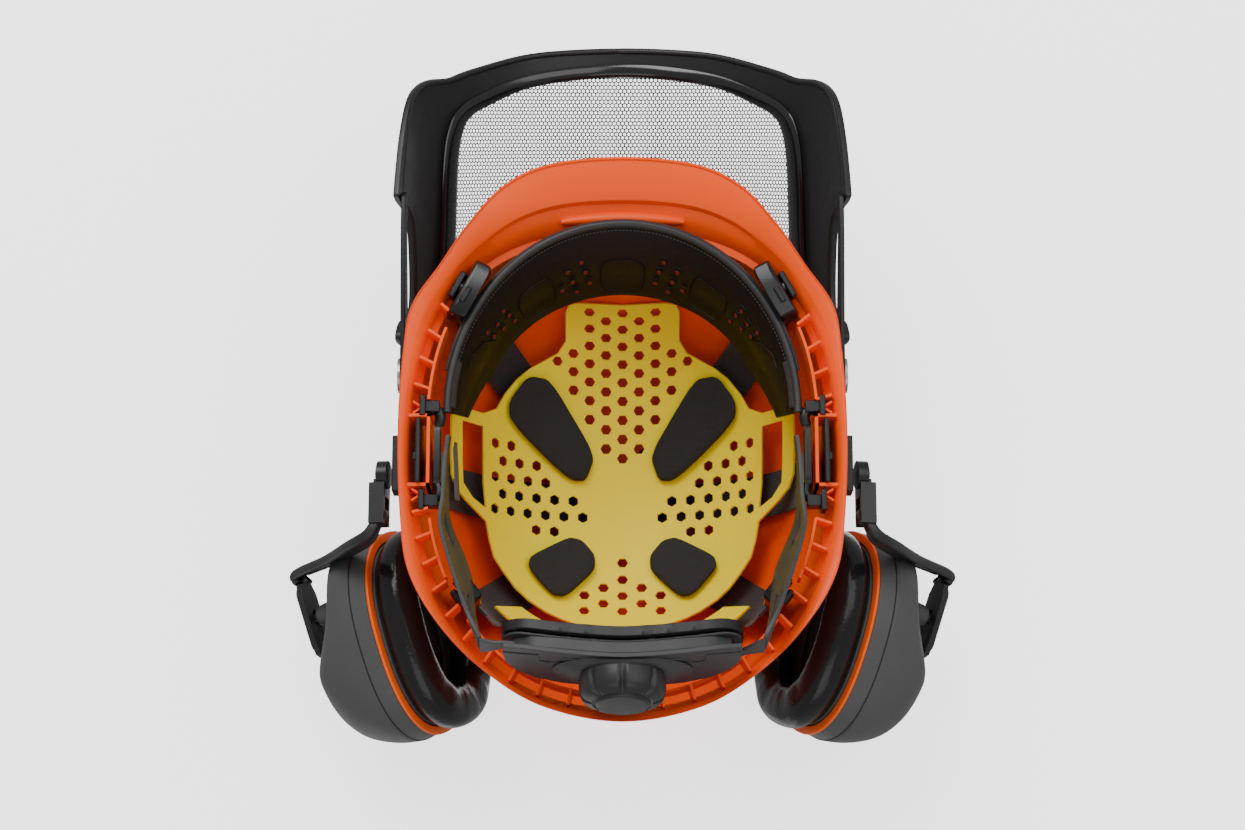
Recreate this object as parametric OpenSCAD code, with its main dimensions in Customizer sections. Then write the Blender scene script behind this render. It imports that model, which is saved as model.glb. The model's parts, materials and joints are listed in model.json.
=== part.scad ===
/* [Shell] */
// Height of the crown above the side rim
crown_h = 150; // [140:1:160]
// Half width of the rim at its widest
rim_half_w = 114; // [108:1:120]
// Thickness of the moulded shell wall
wall_t = 3; // [2:0.5:3.5]
// Height of the inner wall that stands along the rim
inner_wall_h = 14; // [8:1:18]
// Angle between two rim ribs, seen from the shell centre
rib_step = 7; // [5:1:12]

/* [Head harness] */
// Width of a textile strap
strap_w = 24; // [18:1:30]
// Thickness of a textile strap
strap_t = 1.2; // [0.8:0.1:2]
// Height of the lower face of the liner at its middle
liner_top = 120; // [112:1:124]
// Radius of the dome that the liner follows
liner_r = 104; // [98:1:112]
// Thickness of the foam pads
pad_t = 6; // [4:0.5:8]

/* [Nape unit] */
// Radius of the ratchet knob
knob_r = 21.5; // [18:0.5:24]
// Depth of the ratchet knob
knob_h = 15; // [12:1:18]
// Tilt of the knob axis below level
nape_tilt = 13; // [0:1:20]
// Length of the ratchet housing
housing_w = 116; // [100:2:124]
// Height of the ratchet housing
housing_h = 34; // [30:1:38]

/* [Visor] */
// Radius of the visor's curve
visor_r = 118; // [116:0.5:122]
// Angle of the raised visor below level
visor_drop = 20; // [14:1:22]
// Reach of the visor from its pivot line
visor_reach = 172; // [150:1:180]
// Thickness of the visor frame
visor_t = 3; // [2:0.5:4]

/* [Ear muffs] */
// Half length of an ear cup
cup_long = 56; // [50:1:60]
// Half width of an ear cup
cup_wide = 45; // [40:1:48]
// Depth of an ear cup
cup_deep = 54; // [48:1:56]
// Thickness of a cup wall
cup_t = 2.5; // [2:0.5:3]
// Thickness of an ear cushion
cushion_t = 18; // [12:1:20]

/* [Hidden] */
$fn = 64;

fit = 0.05;        // running clearance on a radius
gap = 0.3;         // clearance between parts that only lie side by side
shell_mid = 14;    // where the crown stands, in Y
dome_x = rim_half_w - 6;
dome_front = 126;
dome_rear = 130;
front_power = 2.6;
rear_power = 2.2;
rise_power = 2.4;
lean_power = 2.2;

// ---- Vectors and curves ----
function unit(v) = v / norm(v);
function lerp(a, b, t) = a + (b - a) * t;
function curve_point(a, b, c, d, t) =
    0.5 * (2 * b + (c - a) * t + (2 * a - 5 * b + 4 * c - d) * t * t
        + (3 * b - a - 3 * c + d) * t * t * t);
// Smooth closed curve through the points p, with n points for each span
function closed_curve(p, n) = let (m = len(p))
    [for (i = [0 : m - 1], j = [0 : n - 1])
        curve_point(p[(i + m - 1) % m], p[i], p[(i + 1) % m], p[(i + 2) % m], j / n)];
// Smooth open curve through the points p, with n points for each span
function open_curve(p, n) = let (m = len(p) - 1)
    [for (i = [0 : m - 1], j = [0 : (i == m - 1 ? n : n - 1)])
        curve_point(p[max(i - 1, 0)], p[i], p[i + 1], p[min(i + 2, m)], j / n)];
// Flat oval outline with squarer shoulders than an ellipse
function oval(a, b, n = 48, power = 2.3) =
    [for (i = [0 : n - 1]) let (t = 360 * i / n, c = cos(t), s = sin(t))
        [a * sign(c) * pow(abs(c), 2 / power), b * sign(s) * pow(abs(s), 2 / power)]];
function at_height(p, z) = [for (q = p) [q[0], q[1], z]];
function mean(p) = [for (k = [0 : 2]) sum([for (q = p) q[k]]) / len(p)];
function sum(v, i = 0) = i < len(v) ? v[i] + sum(v, i + 1) : 0;

// Closed solid through a list of rings, each ring with the same number of points
module skin(rings) {
    n = len(rings[0]);
    m = len(rings);
    points = concat([for (r = rings) each r], [mean(rings[0]), mean(rings[m - 1])]);
    sides = [for (k = [0 : m - 2], i = [0 : n - 1]) let (j = (i + 1) % n) each [
        [k * n + i, k * n + j, (k + 1) * n + j],
        [k * n + i, (k + 1) * n + j, (k + 1) * n + i]]];
    first = [for (i = [0 : n - 1]) [m * n, (i + 1) % n, i]];
    last = [for (i = [0 : n - 1]) [m * n + 1, (m - 1) * n + i, (m - 1) * n + (i + 1) % n]];
    polyhedron(points, concat(sides, first, last));
}
// Closed solid through rings that come back to the first
module ring_skin(rings) {
    n = len(rings[0]);
    m = len(rings);
    polyhedron([for (r = rings) each r], [for (k = [0 : m - 1], i = [0 : n - 1])
        let (j = (i + 1) % n, h = (k + 1) % m) each [
            [k * n + i, k * n + j, h * n + j], [k * n + i, h * n + j, h * n + i]]]);
}
// Places a child in a frame with origin o and axes x, y, z
module placed(o, x, y, z) {
    multmatrix([[x[0], y[0], z[0], o[0]], [x[1], y[1], z[1], o[1]],
        [x[2], y[2], z[2], o[2]], [0, 0, 0, 1]]) children();
}
module both_sides() {
    children();
    mirror([1, 0, 0]) children();
}
module soft_box(size, r = 1.5) {
    translate([0, 0, -size[2] / 2]) linear_extrude(size[2])
        polygon([for (c = [[1, 1, 0], [-1, 1, 90], [-1, -1, 180], [1, -1, 270]], a = [0 : 30 : 90])
            [c[0] * (size[0] / 2 - r) + r * cos(c[2] + a), c[1] * (size[1] / 2 - r) + r * sin(c[2] + a)]]);
}

// ---- Shell ----
rim_half = [[38, -143], [62, -131], [80, -110], [94, -88], [rim_half_w - 6, -66],
    [rim_half_w - 2, -42], [rim_half_w, 0], [rim_half_w - 2, 45], [rim_half_w - 7, 74],
    [92, 100], [70, 123], [40, 142]];
rim_points = concat([[0, -147]], rim_half, [[0, 150]],
    [for (i = [len(rim_half) - 1 : -1 : 0]) [-rim_half[i][0], rim_half[i][1]]]);
rim = closed_curve(rim_points, 3);
// Height of the rim, which rises a little at the peak and dips at the nape
function rim_z(y) = y < -40 ? 3 * pow((-40 - y) / 107, 1.5)
    : y > 40 ? -12 * pow((y - 40) / 110, 1.6) : 0;
// Plan radius of the dome's foot in direction a
function foot(a) = let (s = sin(a), p = s < 0 ? front_power : rear_power,
    ry = s < 0 ? dome_front : dome_rear)
    pow(pow(abs(cos(a)) / dome_x, p) + pow(abs(s) / ry, p), -1 / p);
function dome_scale(z, top) = pow(max(0, 1 - pow(z / top, rise_power)), 1 / lean_power);
// Height of a dome of height top, set in by inset, over a plan point
function dome_z(x, y, inset, top) = let (a = atan2(y - shell_mid, x),
    q = norm([x, y - shell_mid]) / (foot(a) - inset))
    top * pow(max(0, 1 - pow(q, lean_power)), 1 / rise_power);
// Height where the dome turns out into the brim
function brim_z(y) = 14 + (y < -60 ? 8 * min(1, (-60 - y) / 50) : 0) + rim_z(y) / 2;
function dome_ring(z, inset, top) =
    [for (p = rim) let (a = atan2(p[1] - shell_mid, p[0]),
        r = (foot(a) - inset) * dome_scale(z, top), low = brim_z(p[1]))
        [r * cos(a), shell_mid + r * sin(a), max(z, low)]];
// Brim ring: t runs from the dome's foot to the rim, lift raises it
function brim_ring(t, inset, lift) =
    [for (p = rim) let (a = atan2(p[1] - shell_mid, p[0]), r = foot(a) - inset,
        f = [r * cos(a), shell_mid + r * sin(a)], z0 = brim_z(p[1]), z1 = rim_z(p[1]),
        q = lerp(f, p, t)) [q[0], q[1], lerp(z0, z1, pow(t, 0.8)) + lift]];
crown_steps = [6, 14, 24, 35, 47, 59, 70, 78];
module shell_skin() {
    outer = [for (s = crown_steps) dome_ring(crown_h * cos(s), 0, crown_h)];
    inner = [for (s = crown_steps)
        dome_ring((crown_h - wall_t) * cos(s), wall_t, crown_h - wall_t)];
    skin(concat(outer, [brim_ring(0, 0, 0), brim_ring(0.5, 0, 0), brim_ring(1, 0, 1),
        brim_ring(1, 0, -1.5), brim_ring(0.75, 0, -2.5), brim_ring(0, wall_t, -2)],
        [for (i = [len(inner) - 1 : -1 : 0]) inner[i]]));
}
// Outline of the dome's foot, set in by inset
function foot_outline(inset) = [for (a = [0 : 5 : 355]) let (r = foot(a) - inset)
    [r * cos(a), shell_mid + r * sin(a)]];
socket_y = 12;     // middle of the accessory socket
socket_len = 42;
module inner_wall() {
    difference() {
        translate([0, 0, -2]) linear_extrude(inner_wall_h) difference() {
            polygon(foot_outline(9));
            polygon(foot_outline(10.6));
        }
        translate([-100, -180, -20]) cube([200, 100, 60]);
        both_sides() translate([90, socket_y - socket_len / 2 - 6, -20]) cube([30, socket_len + 12, 60]);
    }
}
module rib(a) {
    translate([0, shell_mid, 0]) rotate([0, 0, a]) translate([foot(a) - 9.6, -0.7, 0])
        cube([8, 1.4, inner_wall_h - 3]);
}
module rim_ribs() {
    for (a = [-45 : rib_step : 225])
        if (abs(foot(a) * sin(a) + shell_mid - socket_y) > socket_len / 2 + 9) rib(a);
}
// Pocket on the side of the shell that takes an accessory blade
module socket_box() {
    difference() {
        translate([95.5, socket_y - socket_len / 2, 2]) cube([12, socket_len, 24]);
        translate([98, socket_y - 18.5, -1]) cube([6, 37, 23]);
    }
}
front_clip = [79.5, -74.5, 9.5];
front_turn = -42;
rear_clip = [78.5, 82, 8];
rear_turn = 38;
clip_size = [6, 20, 16];
// Gap in the inner wall and ribs where a clip snaps in
module clip_notch(at, turn) {
    translate(at) rotate([0, 0, turn]) cube([clip_size[0] + 1, clip_size[1] + 1, 60], center = true);
}
module shell() {
    color("orangered") resize([0, 0, 0]) difference() {
        union() {
            shell_skin();
            difference() {
                union() {
                    inner_wall();
                    rim_ribs();
                }
                both_sides() clip_notch(front_clip, front_turn);
                both_sides() clip_notch(rear_clip, rear_turn);
            }
            both_sides() socket_box();
        }
        both_sides() translate([98, socket_y - 10 - gap, blade_z - gap])
            cube([20, 26 + 2 * gap, 5 + 2 * gap]);
    }
}

// ---- Clips, hangers and straps ----
module clip(at, turn, size) {
    translate(at) rotate([0, 0, turn]) difference() {
        soft_box(size, 2);
        translate([0, 0, -size[2] / 2 - 1]) linear_extrude(size[2] * 0.6)
            square([size[0] * 0.35, size[1] * 0.5], center = true);
    }
}
module front_clips() { color("dimgray") both_sides() clip(front_clip, front_turn, clip_size); }
module side_upper_clips() { color("dimgray") both_sides() clip([93.2, -13, 13], 0, [4, 12, 14]); }
module side_lower_clips() { color("dimgray") both_sides() clip([93.2, 36, 13], 0, [4, 12, 14]); }
module rear_clips() { color("dimgray") both_sides() clip(rear_clip, rear_turn, clip_size); }
module side_hangers() {
    color("dimgray") both_sides() translate([92.6, 11.5, 9]) rotate([0, 90, 0])
        linear_extrude(2.4, center = true) difference() {
            polygon([for (c = [[0, 10, 0], [0, -10, 180]], a = [0 : 20 : 180])
                [5 * cos(c[2] + a), c[1] + 5 * sin(c[2] + a)]]);
            square([3, 14], center = true);
        }
}
// Strap whose lower face runs through the points p, with its width along side
module strap(p, side) {
    n = len(p) - 1;
    s = unit(side) * strap_w / 2;
    skin([for (i = [0 : n]) let (d = unit(p[min(i + 1, n)] - p[max(i - 1, 0)]),
        o = unit(cross(s, d)) * strap_t) [p[i] - s, p[i] + s, p[i] + s + o, p[i] - s + o]]);
}
strap_inset = 9;
strap_pitch = 2 * strap_t + gap; // drop from one crossing strap to the next
// Strap from a front clip over the crown to the rear clip across from it
module diagonal_strap(s, drop) {
    strap(concat([[-s * 79, -73, 23]],
        [for (t = [-72 : 8 : 80]) [s * (t - 6), t, dome_z(s * (t - 6), t, strap_inset, crown_h - strap_inset) - drop]],
        [[s * 77.5, 83.5, 18]]), [s, -1, 0]);
}
module diagonal_strap_left() { color("black") diagonal_strap(1, 0); }
module diagonal_strap_right() { color("black") mirror([1, 0, 0]) diagonal_strap(1, strap_pitch); }
lateral_line = [[-93.5, 17], [-95, 40], [-94.5, 62], [-90.5, 80], [-80, 97], [-60, 116], [-30, 131],
    [0, 136]];
module lateral_strap() {
    n = len(lateral_line);
    color("black") strap([for (i = [0 : 2 * n - 2]) let (q = lateral_line[i < n ? i : 2 * n - 2 - i])
        [i < n ? q[0] : -q[0], socket_y, q[1]]], [0, -1, 0]);
}

// ---- Headband and sweatband ----
// Lower and upper edge of the brow band at angle a from straight ahead
function band_low(a) = [89 * sin(a), -12 - 98 * cos(a), -2 + 4 * pow(sin(a), 2)];
function band_high(a) = [71 * sin(a), -16 - 66 * cos(a), 44];
function band_out(a) = unit([sin(a), -cos(a), 0.35]);
// Point of the brow band: h from lower to upper edge, d out from the head
function band(a, h, d) = lerp(band_low(a), band_high(a), h) + band_out(a) * (d - 5 * h * (1 - h));
module band_solid(from, to, low, high, near, far) {
    skin([for (a = [from : 6 : to]) concat(
        [for (h = [0 : 0.25 : 1]) band(a, lerp(low, high, h), far)],
        [for (h = [1 : -0.25 : 0]) band(a, lerp(low, high, h), near)])]);
}
module headband() { color("dimgray") band_solid(-78, 78, 0.06, 0.5, 4.4, 6.4); }
module sweatband() { color("black") band_solid(-84, 84, 0, 1, 0, 4); }

// ---- Liner and pads ----
liner_mid = 7;
liner_ease = 0.64; // how much flatter the liner runs along Y than across
function liner_z(x, y) = liner_top - liner_r
    + sqrt(max(0, pow(liner_r, 2) - x * x - liner_ease * pow(y - liner_mid, 2)));
// Reach of the liner in direction a: a disc with a brow tab and two side arms
function liner_reach(a) = 78 + 20 * exp(-pow((a - 270) / 17, 4)) + 12 * exp(-pow((a - 180) / 20, 4))
    + 12 * (exp(-pow(a / 20, 4)) + exp(-pow((a - 360) / 20, 4))) + 18 * exp(-pow((a - 90) / 45, 4));
function liner_ring(k, lift) = [for (a = [0 : 7.5 : 352.5]) let (r = k * liner_reach(a),
    x = r * cos(a), y = liner_mid + r * sin(a)) [x, y, liner_z(x, y) + lift]];
module liner() {
    color("gold") skin(concat([for (k = [0.2 : 0.2 : 1]) liner_ring(k, 1.4)],
        [for (k = [1 : -0.2 : 0.2]) liner_ring(k, 0)]));
}
pad_gap = 1.2;
// Pad hung under the liner, with plan outline p
module pad(p) {
    c = [sum([for (q = p) q[0]]), sum([for (q = p) q[1]])] / len(p);
    function ring(k, drop) = [for (q = p) let (v = lerp(c, q, k)) [v[0], v[1], liner_z(v[0], v[1]) - drop]];
    color("black") skin([ring(0.4, pad_gap), ring(0.75, pad_gap), ring(1, pad_gap + 0.6),
        ring(1, pad_gap + pad_t - 1.5), ring(0.75, pad_gap + pad_t), ring(0.4, pad_gap + pad_t)]);
}
front_pad = [[-61, -38], [-51, -53], [-39, -52], [-15, -15], [-20, 0], [-29, 0], [-61, -28]];
rear_pad = [[-50, 52], [-49, 45.5], [-29, 33], [-22, 34], [-15, 42.5], [-15, 51], [-30, 67.5], [-37, 67.5]];
module front_left_pad() { pad(front_pad); }
module front_right_pad() { mirror([1, 0, 0]) pad(front_pad); }
module rear_left_pad() { pad(rear_pad); }
module rear_right_pad() { mirror([1, 0, 0]) pad(rear_pad); }
module label_strip() {
    color("silver") skin([for (y = [-14 : 3 : 10]) [for (q = [[-88, 2.6], [-84.5, 2.6], [-84.5, 2.1], [-88, 2.1]])
        [q[0], y, liner_z(q[0], y) - q[1]]]]);
}
module liner_anchors() {
    color("black") for (a = [52, 128, 232, 308]) {
        x = 70 * cos(a);
        y = liner_mid + 70 * sin(a);
        translate([x, y, liner_z(x, y) + 4.5]) cylinder(h = 4, r = 3.5);
    }
}

// ---- Side straps and nape unit ----
knob_axis = [0, cos(nape_tilt), -sin(nape_tilt)];
nape_up = [0, sin(nape_tilt), cos(nape_tilt)];
nape_at = [0, 128, -33];
module nape_frame() { placed(nape_at, [-1, 0, 0], nape_up, knob_axis) children(); }
pinion_r = 4.5;
rack_off = pinion_r + 3.7;
// Strap from the brow band to the housing: plan point and height along it
strap_line = open_curve([[88.6, 4, 5], [89.2, 28, 2], [88.6, 52, -7], [81.5, 80, -20], [72, 100, -30]], 4);
module side_strap_band() {
    n = len(strap_line) - 1;
    skin([for (i = [0 : n]) let (p = strap_line[i], d = strap_line[min(i + 1, n)] - strap_line[max(i - 1, 0)],
        o = unit([d[1], -d[0], 0]), h = lerp(10, 13, sin(180 * i / n)), z = [0, 0, 1])
        [p - z * h - o, p - z * h + o, p + z * h + o, p + z * h - o]]);
}
// Toothed rack that runs into the housing; u is its height in the nape frame
module rack(u) {
    nape_frame() translate([0, u, -7.7]) linear_extrude(3.6) union() {
        translate([-73, -2]) square([59, 4]);
        translate([-74, -5]) square([6, 10]);
    }
}
module left_side_strap() {
    color("dimgray") resize([0, 0, 0]) union() {
        mirror([1, 0, 0]) side_strap_band();
        mirror([1, 0, 0]) rack(-rack_off);
        strap_foot(-1);
    }
}
module right_side_strap() {
    color("dimgray") resize([0, 0, 0]) union() {
        side_strap_band();
        rack(rack_off);
        strap_foot(1);
    }
}
// Joins the strap's end to its rack
module strap_foot(s) {
    hull() {
        translate([s * 72, 100, -30]) cube([3, 3, 18], center = true);
        translate([s * 71, 119.5, -34]) cube([3, 3, 12], center = true);
    }
}
module nape_plate(w, h, r, low, high) {
    translate([0, 0, low]) linear_extrude(high - low) polygon([for (c = [[1, 1, 0], [-1, 1, 90],
        [-1, -1, 180], [1, -1, 270]], a = [0 : 15 : 90])
        [c[0] * (w / 2 - r) + r * cos(c[2] + a), c[1] * (h / 2 - r) + r * sin(c[2] + a)]]);
}
module nape_housing() {
    color("dimgray") nape_frame() difference() {
        nape_plate(housing_w, housing_h, 12, -10, 0);
        translate([0, 0, -6]) cube([housing_w + 2, 23, 4.4], center = true);
        translate([0, 0, -6]) cylinder(h = 7, r = 4 + fit);
        translate([0, 0, -3.9]) cylinder(h = 0.6, r = pinion_r + 1.2);
    }
}
module nape_cover() {
    color("dimgray") nape_frame() difference() {
        nape_plate(64, 27, 10, 0, 2.4);
        translate([0, 0, -1]) cylinder(h = 5, r = 4 + fit);
    }
}
module nape_pad() {
    color("black") nape_frame() difference() {
        nape_plate(118, 38, 16, -16, -10 - gap);
        for (s = [-1, 1]) translate([s * 28, 9, -20]) linear_extrude(12) square([34, 6], center = true);
    }
}
module pinion() {
    teeth = 12;
    color("gray") nape_frame() {
        translate([0, 0, -7.7]) linear_extrude(3.6) polygon([for (i = [0 : teeth * 4 - 1])
            let (a = 360 * i / (teeth * 4), r = pinion_r + (i % 4 < 2 ? 0.6 : -0.5)) [r * cos(a), r * sin(a)]]);
        translate([0, 0, -4.1]) cylinder(h = 12, r = 4);
    }
}
module knob() {
    lobes = 12;
    color("dimgray") nape_frame() difference() {
        translate([0, 0, 3.2]) union() {
            linear_extrude(knob_h - 2) polygon([for (a = [0 : 3 : 357])
                let (r = knob_r - 1.1 + 1.1 * cos(lobes * a)) [r * cos(a), r * sin(a)]]);
            translate([0, 0, knob_h - 2]) cylinder(h = 2, r = knob_r - 5);
        }
        translate([0, 0, 3]) cylinder(h = 4.9, r = 4 + 0.01);
    }
}

// ---- Visor ----
visor_pivot = [0, -36, 28];
visor_ahead = [0, -cos(visor_drop), -sin(visor_drop)];
visor_out = [0, -sin(visor_drop), cos(visor_drop)];
module visor_frame_axes() { placed(visor_pivot, [-1, 0, 0], visor_ahead, visor_out) children(); }
function mirrored(p) = concat(p, [for (i = [len(p) - 1 : -1 : 0]) [-p[i][0], p[i][1]]]);
frame_outline = mirrored([[0, visor_reach], [30, visor_reach - 1], [55, visor_reach - 4],
    [82, visor_reach - 12], [94, visor_reach - 17], [106, visor_reach - 19], [112, visor_reach - 24],
    [116, 122], [120, 98], [120, 90], [113, 77], [112.5, 34], [120, 26], [120, 14], [108, 10],
    [98, 4], [80, 6], [52, 9], [26, 11], [0, 12]]);
window_outline = mirrored([[0, visor_reach - 15], [30, visor_reach - 17], [55, visor_reach - 22],
    [76, visor_reach - 32], [85, visor_reach - 40], [90, 110], [92, 60], [95, 22], [80, 19],
    [52, 22], [26, 24], [0, 25]]);
// Part of the curved sheet between two radii that stands under a flat outline
module curved_sheet(low, high) {
    intersection() {
        linear_extrude(140) children();
        rotate([-90, 0, 0]) difference() {
            cylinder(h = 200, r = high, $fn = 128);
            translate([0, 0, -1]) cylinder(h = 202, r = low, $fn = 128);
        }
    }
}
module visor_frame() {
    color("dimgray") visor_frame_axes() curved_sheet(visor_r - visor_t / 2, visor_r + visor_t / 2)
        difference() {
            polygon(frame_outline);
            polygon(window_outline);
        }
}
function grown(p, g) = [for (q = p) [q[0] + sign(q[0]) * g, q[1] + (q[1] > 60 ? g : -g)]];
module visor_mesh() {
    color("lightgray") visor_frame_axes() curved_sheet(visor_r - visor_t / 2 - 1, visor_r - visor_t / 2 - 0.2)
        polygon(grown(window_outline, 4));
}
module visor_retainer() {
    color("black") visor_frame_axes() curved_sheet(visor_r - visor_t / 2 - 3.4, visor_r - visor_t / 2 - 1.2)
        difference() {
            polygon(grown(window_outline, 5));
            polygon(grown(window_outline, -1));
        }
}
arm_in = 112.5;    // inner face of a visor arm
visor_arm_t = 2.3;
module visor_arms() {
    color("dimgray") visor_frame_axes() both_sides() translate([arm_in, 0, 0]) rotate([90, 0, 90])
        linear_extrude(visor_arm_t) difference() {
            union() {
                circle(r = 12);
                polygon([[-6, -11.5], [20, -5], [74, 2], [74, 14], [24, 16], [0, 12]]);
            }
            circle(r = 5 + fit);
        }
}
pin_in = 106.5;    // inner end of a visor pin, at the shell's outer face
module visor_pins() {
    color("gray") both_sides() translate([0, visor_pivot[1], visor_pivot[2]]) rotate([0, 90, 0]) {
        translate([0, 0, pin_in]) cylinder(h = arm_in + visor_arm_t - pin_in + gap, r = 5);
        translate([0, 0, arm_in + visor_arm_t + gap]) cylinder(h = 1.6, r = 9);
    }
}

// ---- Ear muffs, drawn for the left side and mirrored for the right ----
cup_out = unit([-0.885, 0.168, 0.434]);
cup_l0 = [0.29, 0.928, 0.232];
cup_along = unit(cup_l0 - cup_out * (cup_l0 * cup_out));
cup_across = cross(cup_along, cup_out);
cup_at = [-108, 89, 85];
module cup_frame() { placed(cup_at, cup_across, cup_along, cup_out) children(); }
swing_axis = unit([-1, 0, 0.15]);
swing_side = [0, 1, 0];
swing_up = cross(swing_axis, swing_side);
swing_at = [-119, 20, 14];
module swing_frame() { placed(swing_at, swing_side, swing_up, swing_axis) children(); }
stud_shift = -22;  // the stud sits towards the arm along the cup
slider_out = cup_deep + 4;

blade_z = 14;      // height of the bar that runs out through the shell wall
module socket_blade() {
    color("black") union() {
        translate([-103.6, socket_y - 18, -5]) cube([5.2, 36, 26]);
        translate([-113, socket_y - 10, blade_z]) cube([12, 26, 5]);
        translate([-117.4, socket_y - 12, blade_z - 6]) cube([5, 30, 14]);
    }
}
module hinge_block() {
    color("black") swing_frame() difference() {
        union() {
            cylinder(h = 9, r = 9);
            translate([4, -6, 1]) cube([22, 12, 8]);
        }
        translate([21, -7, -1]) cube([8, 14, 4]);
        translate([21.5, 0, 5]) rotate([90, 0, 0]) cylinder(h = 16, r = 2 + fit, center = true);
        translate([14, -4.5, -1]) cube([14, 9, 12]);
    }
}
// Puts a child on the line about which the arm flips out
module flip_line() { swing_frame() translate([21.5, 0, 5]) rotate([90, 0, 0]) children(); }
module flip_pin() { color("gray") flip_line() cylinder(h = 13, r = 2, center = true); }
// Where the arm leaves its hinge, in the row's own frame
arm_root = swing_at + swing_side * 21.5 + swing_axis * 5;
slider_mid = cup_at + cup_out * slider_out + cup_along * stud_shift;
arm_end = slider_mid - cup_along * 19;
arm_line = open_curve([arm_root, arm_root + [-4, 15, 4], lerp(arm_root, arm_end, 0.55) + [-9, -3, 3],
    arm_end - cup_along * 6, arm_end - cup_along * 2.8], 5);
module arm() {
    n = len(arm_line) - 1;
    color("black") resize([0, 0, 0]) difference() {
        union() {
            skin([for (i = [0 : n]) let (p = arm_line[i],
                d = unit(arm_line[min(i + 1, n)] - arm_line[max(i - 1, 0)]), t = i / n,
                s = unit(lerp(swing_up, -cup_across, t)), u = unit(s - d * (s * d)), v = cross(u, d))
                [for (q = oval(lerp(2.8, 5.5, min(1, 3 * t)), 2, 16, 3)) p + u * q[0] + v * q[1]]]);
            flip_line() cylinder(h = 6, r = 5, $fn = 32, center = true);
        }
        flip_line() cylinder(h = 20, r = 2 + fit + 0.03, $fn = 48, center = true);
    }
}
module slider_plate() {
    color("black") cup_frame() translate([0, stud_shift, slider_out - 2]) linear_extrude(4) difference() {
        polygon([for (c = [[1, 1, 0], [-1, 1, 90], [-1, -1, 180], [1, -1, 270]], a = [0 : 15 : 90])
            [c[0] * 3 + 4 * cos(c[2] + a), c[1] * 15 + 4 * sin(c[2] + a)]]);
        translate([-2.2, -4.2]) square([4.4, 18.2]);
    }
}
module stud() {
    color("gray") cup_frame() translate([0, stud_shift, 0]) {
        translate([0, 0, slider_out - 5.4]) cylinder(h = 8, r = 2.1);
        translate([0, 0, slider_out + 2.3]) cylinder(h = 1.8, r = 4);
        translate([0, 0, slider_out - 8.4]) cylinder(h = 3, r = 4.5);
    }
}
// Ring of the cup: s scales the oval, z is its height out from the trim ring
function cup_ring(s, z, inset) = at_height(oval(cup_wide * s - inset, cup_long * s - inset), z);
cup_steps = [[0.3, 1], [0.55, 0.965], [0.74, 0.88], [0.88, 0.72], [0.96, 0.5], [1, 0.28], [0.985, 0.06]];
module cup() {
    color("dimgray") resize([0, 0, 0]) difference() {
        cup_frame() skin(concat([for (s = cup_steps) cup_ring(s[0], 2.6 + s[1] * (cup_deep - 2.6), 0)],
            [for (i = [len(cup_steps) - 1 : -1 : 0])
                cup_ring(cup_steps[i][0], 2.6 + cup_steps[i][1] * (cup_deep - 2.6 - cup_t) - 0.3, cup_t)]));
        cup_frame() translate([0, stud_shift, cup_deep - 6]) cylinder(h = 12, r = 6, $fn = 32);
    }
    color("dimgray") cup_frame() translate([0, stud_shift, slider_out - 12]) difference() {
        cylinder(h = 3.3, r = 5.9);
        translate([0, 0, 1.5]) cylinder(h = 3, r = 4.6);
    }
}
module cup_foam() {
    color("black") cup_frame() skin([for (s = [[0.4, 0.7], [0.8, 0.55], [0.84, 0.3], [0.8, 0.12]])
        cup_ring(s[0], 2.6 + s[1] * (cup_deep - 2.6), 0)]);
}
module oval_ring(a, b, c, d, low, high) {
    cup_frame() translate([0, 0, low]) linear_extrude(high - low) difference() {
        polygon(oval(a, b));
        polygon(oval(c, d));
    }
}
module backplate() {
    color("black") oval_ring(cup_wide - 5.4, cup_long - 5.9, 22, 32, -0.9, 0.9);
}
module trim_ring() {
    color("orangered") oval_ring(cup_wide - 1.5, cup_long - 2, cup_wide - 5, cup_long - 5.5, 0, 2.4);
}
module cushion() {
    color("black") cup_frame() ring_skin([for (t = [0 : -30 : -330])
        at_height(oval(31.5 + 10.5 * cos(t), 42 + 11 * cos(t), 32), -1.2 - cushion_t / 2 + cushion_t / 2 * sin(t))]);
}
module left_socket_blade() { socket_blade(); }
module left_hinge_block() { hinge_block(); }
module left_flip_pin() { flip_pin(); }
module left_arm() { arm(); }
module left_slider_plate() { slider_plate(); }
module left_stud() { stud(); }
module left_cup() { cup(); }
module left_cup_foam() { cup_foam(); }
module left_backplate() { backplate(); }
module left_trim_ring() { trim_ring(); }
module left_cushion() { cushion(); }
module right_socket_blade() { mirror([1, 0, 0]) socket_blade(); }
module right_hinge_block() { mirror([1, 0, 0]) hinge_block(); }
module right_flip_pin() { mirror([1, 0, 0]) flip_pin(); }
module right_arm() { mirror([1, 0, 0]) arm(); }
module right_slider_plate() { mirror([1, 0, 0]) slider_plate(); }
module right_stud() { mirror([1, 0, 0]) stud(); }
module right_cup() { mirror([1, 0, 0]) cup(); }
module right_cup_foam() { mirror([1, 0, 0]) cup_foam(); }
module right_backplate() { mirror([1, 0, 0]) backplate(); }
module right_trim_ring() { mirror([1, 0, 0]) trim_ring(); }
module right_cushion() { mirror([1, 0, 0]) cushion(); }

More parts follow.
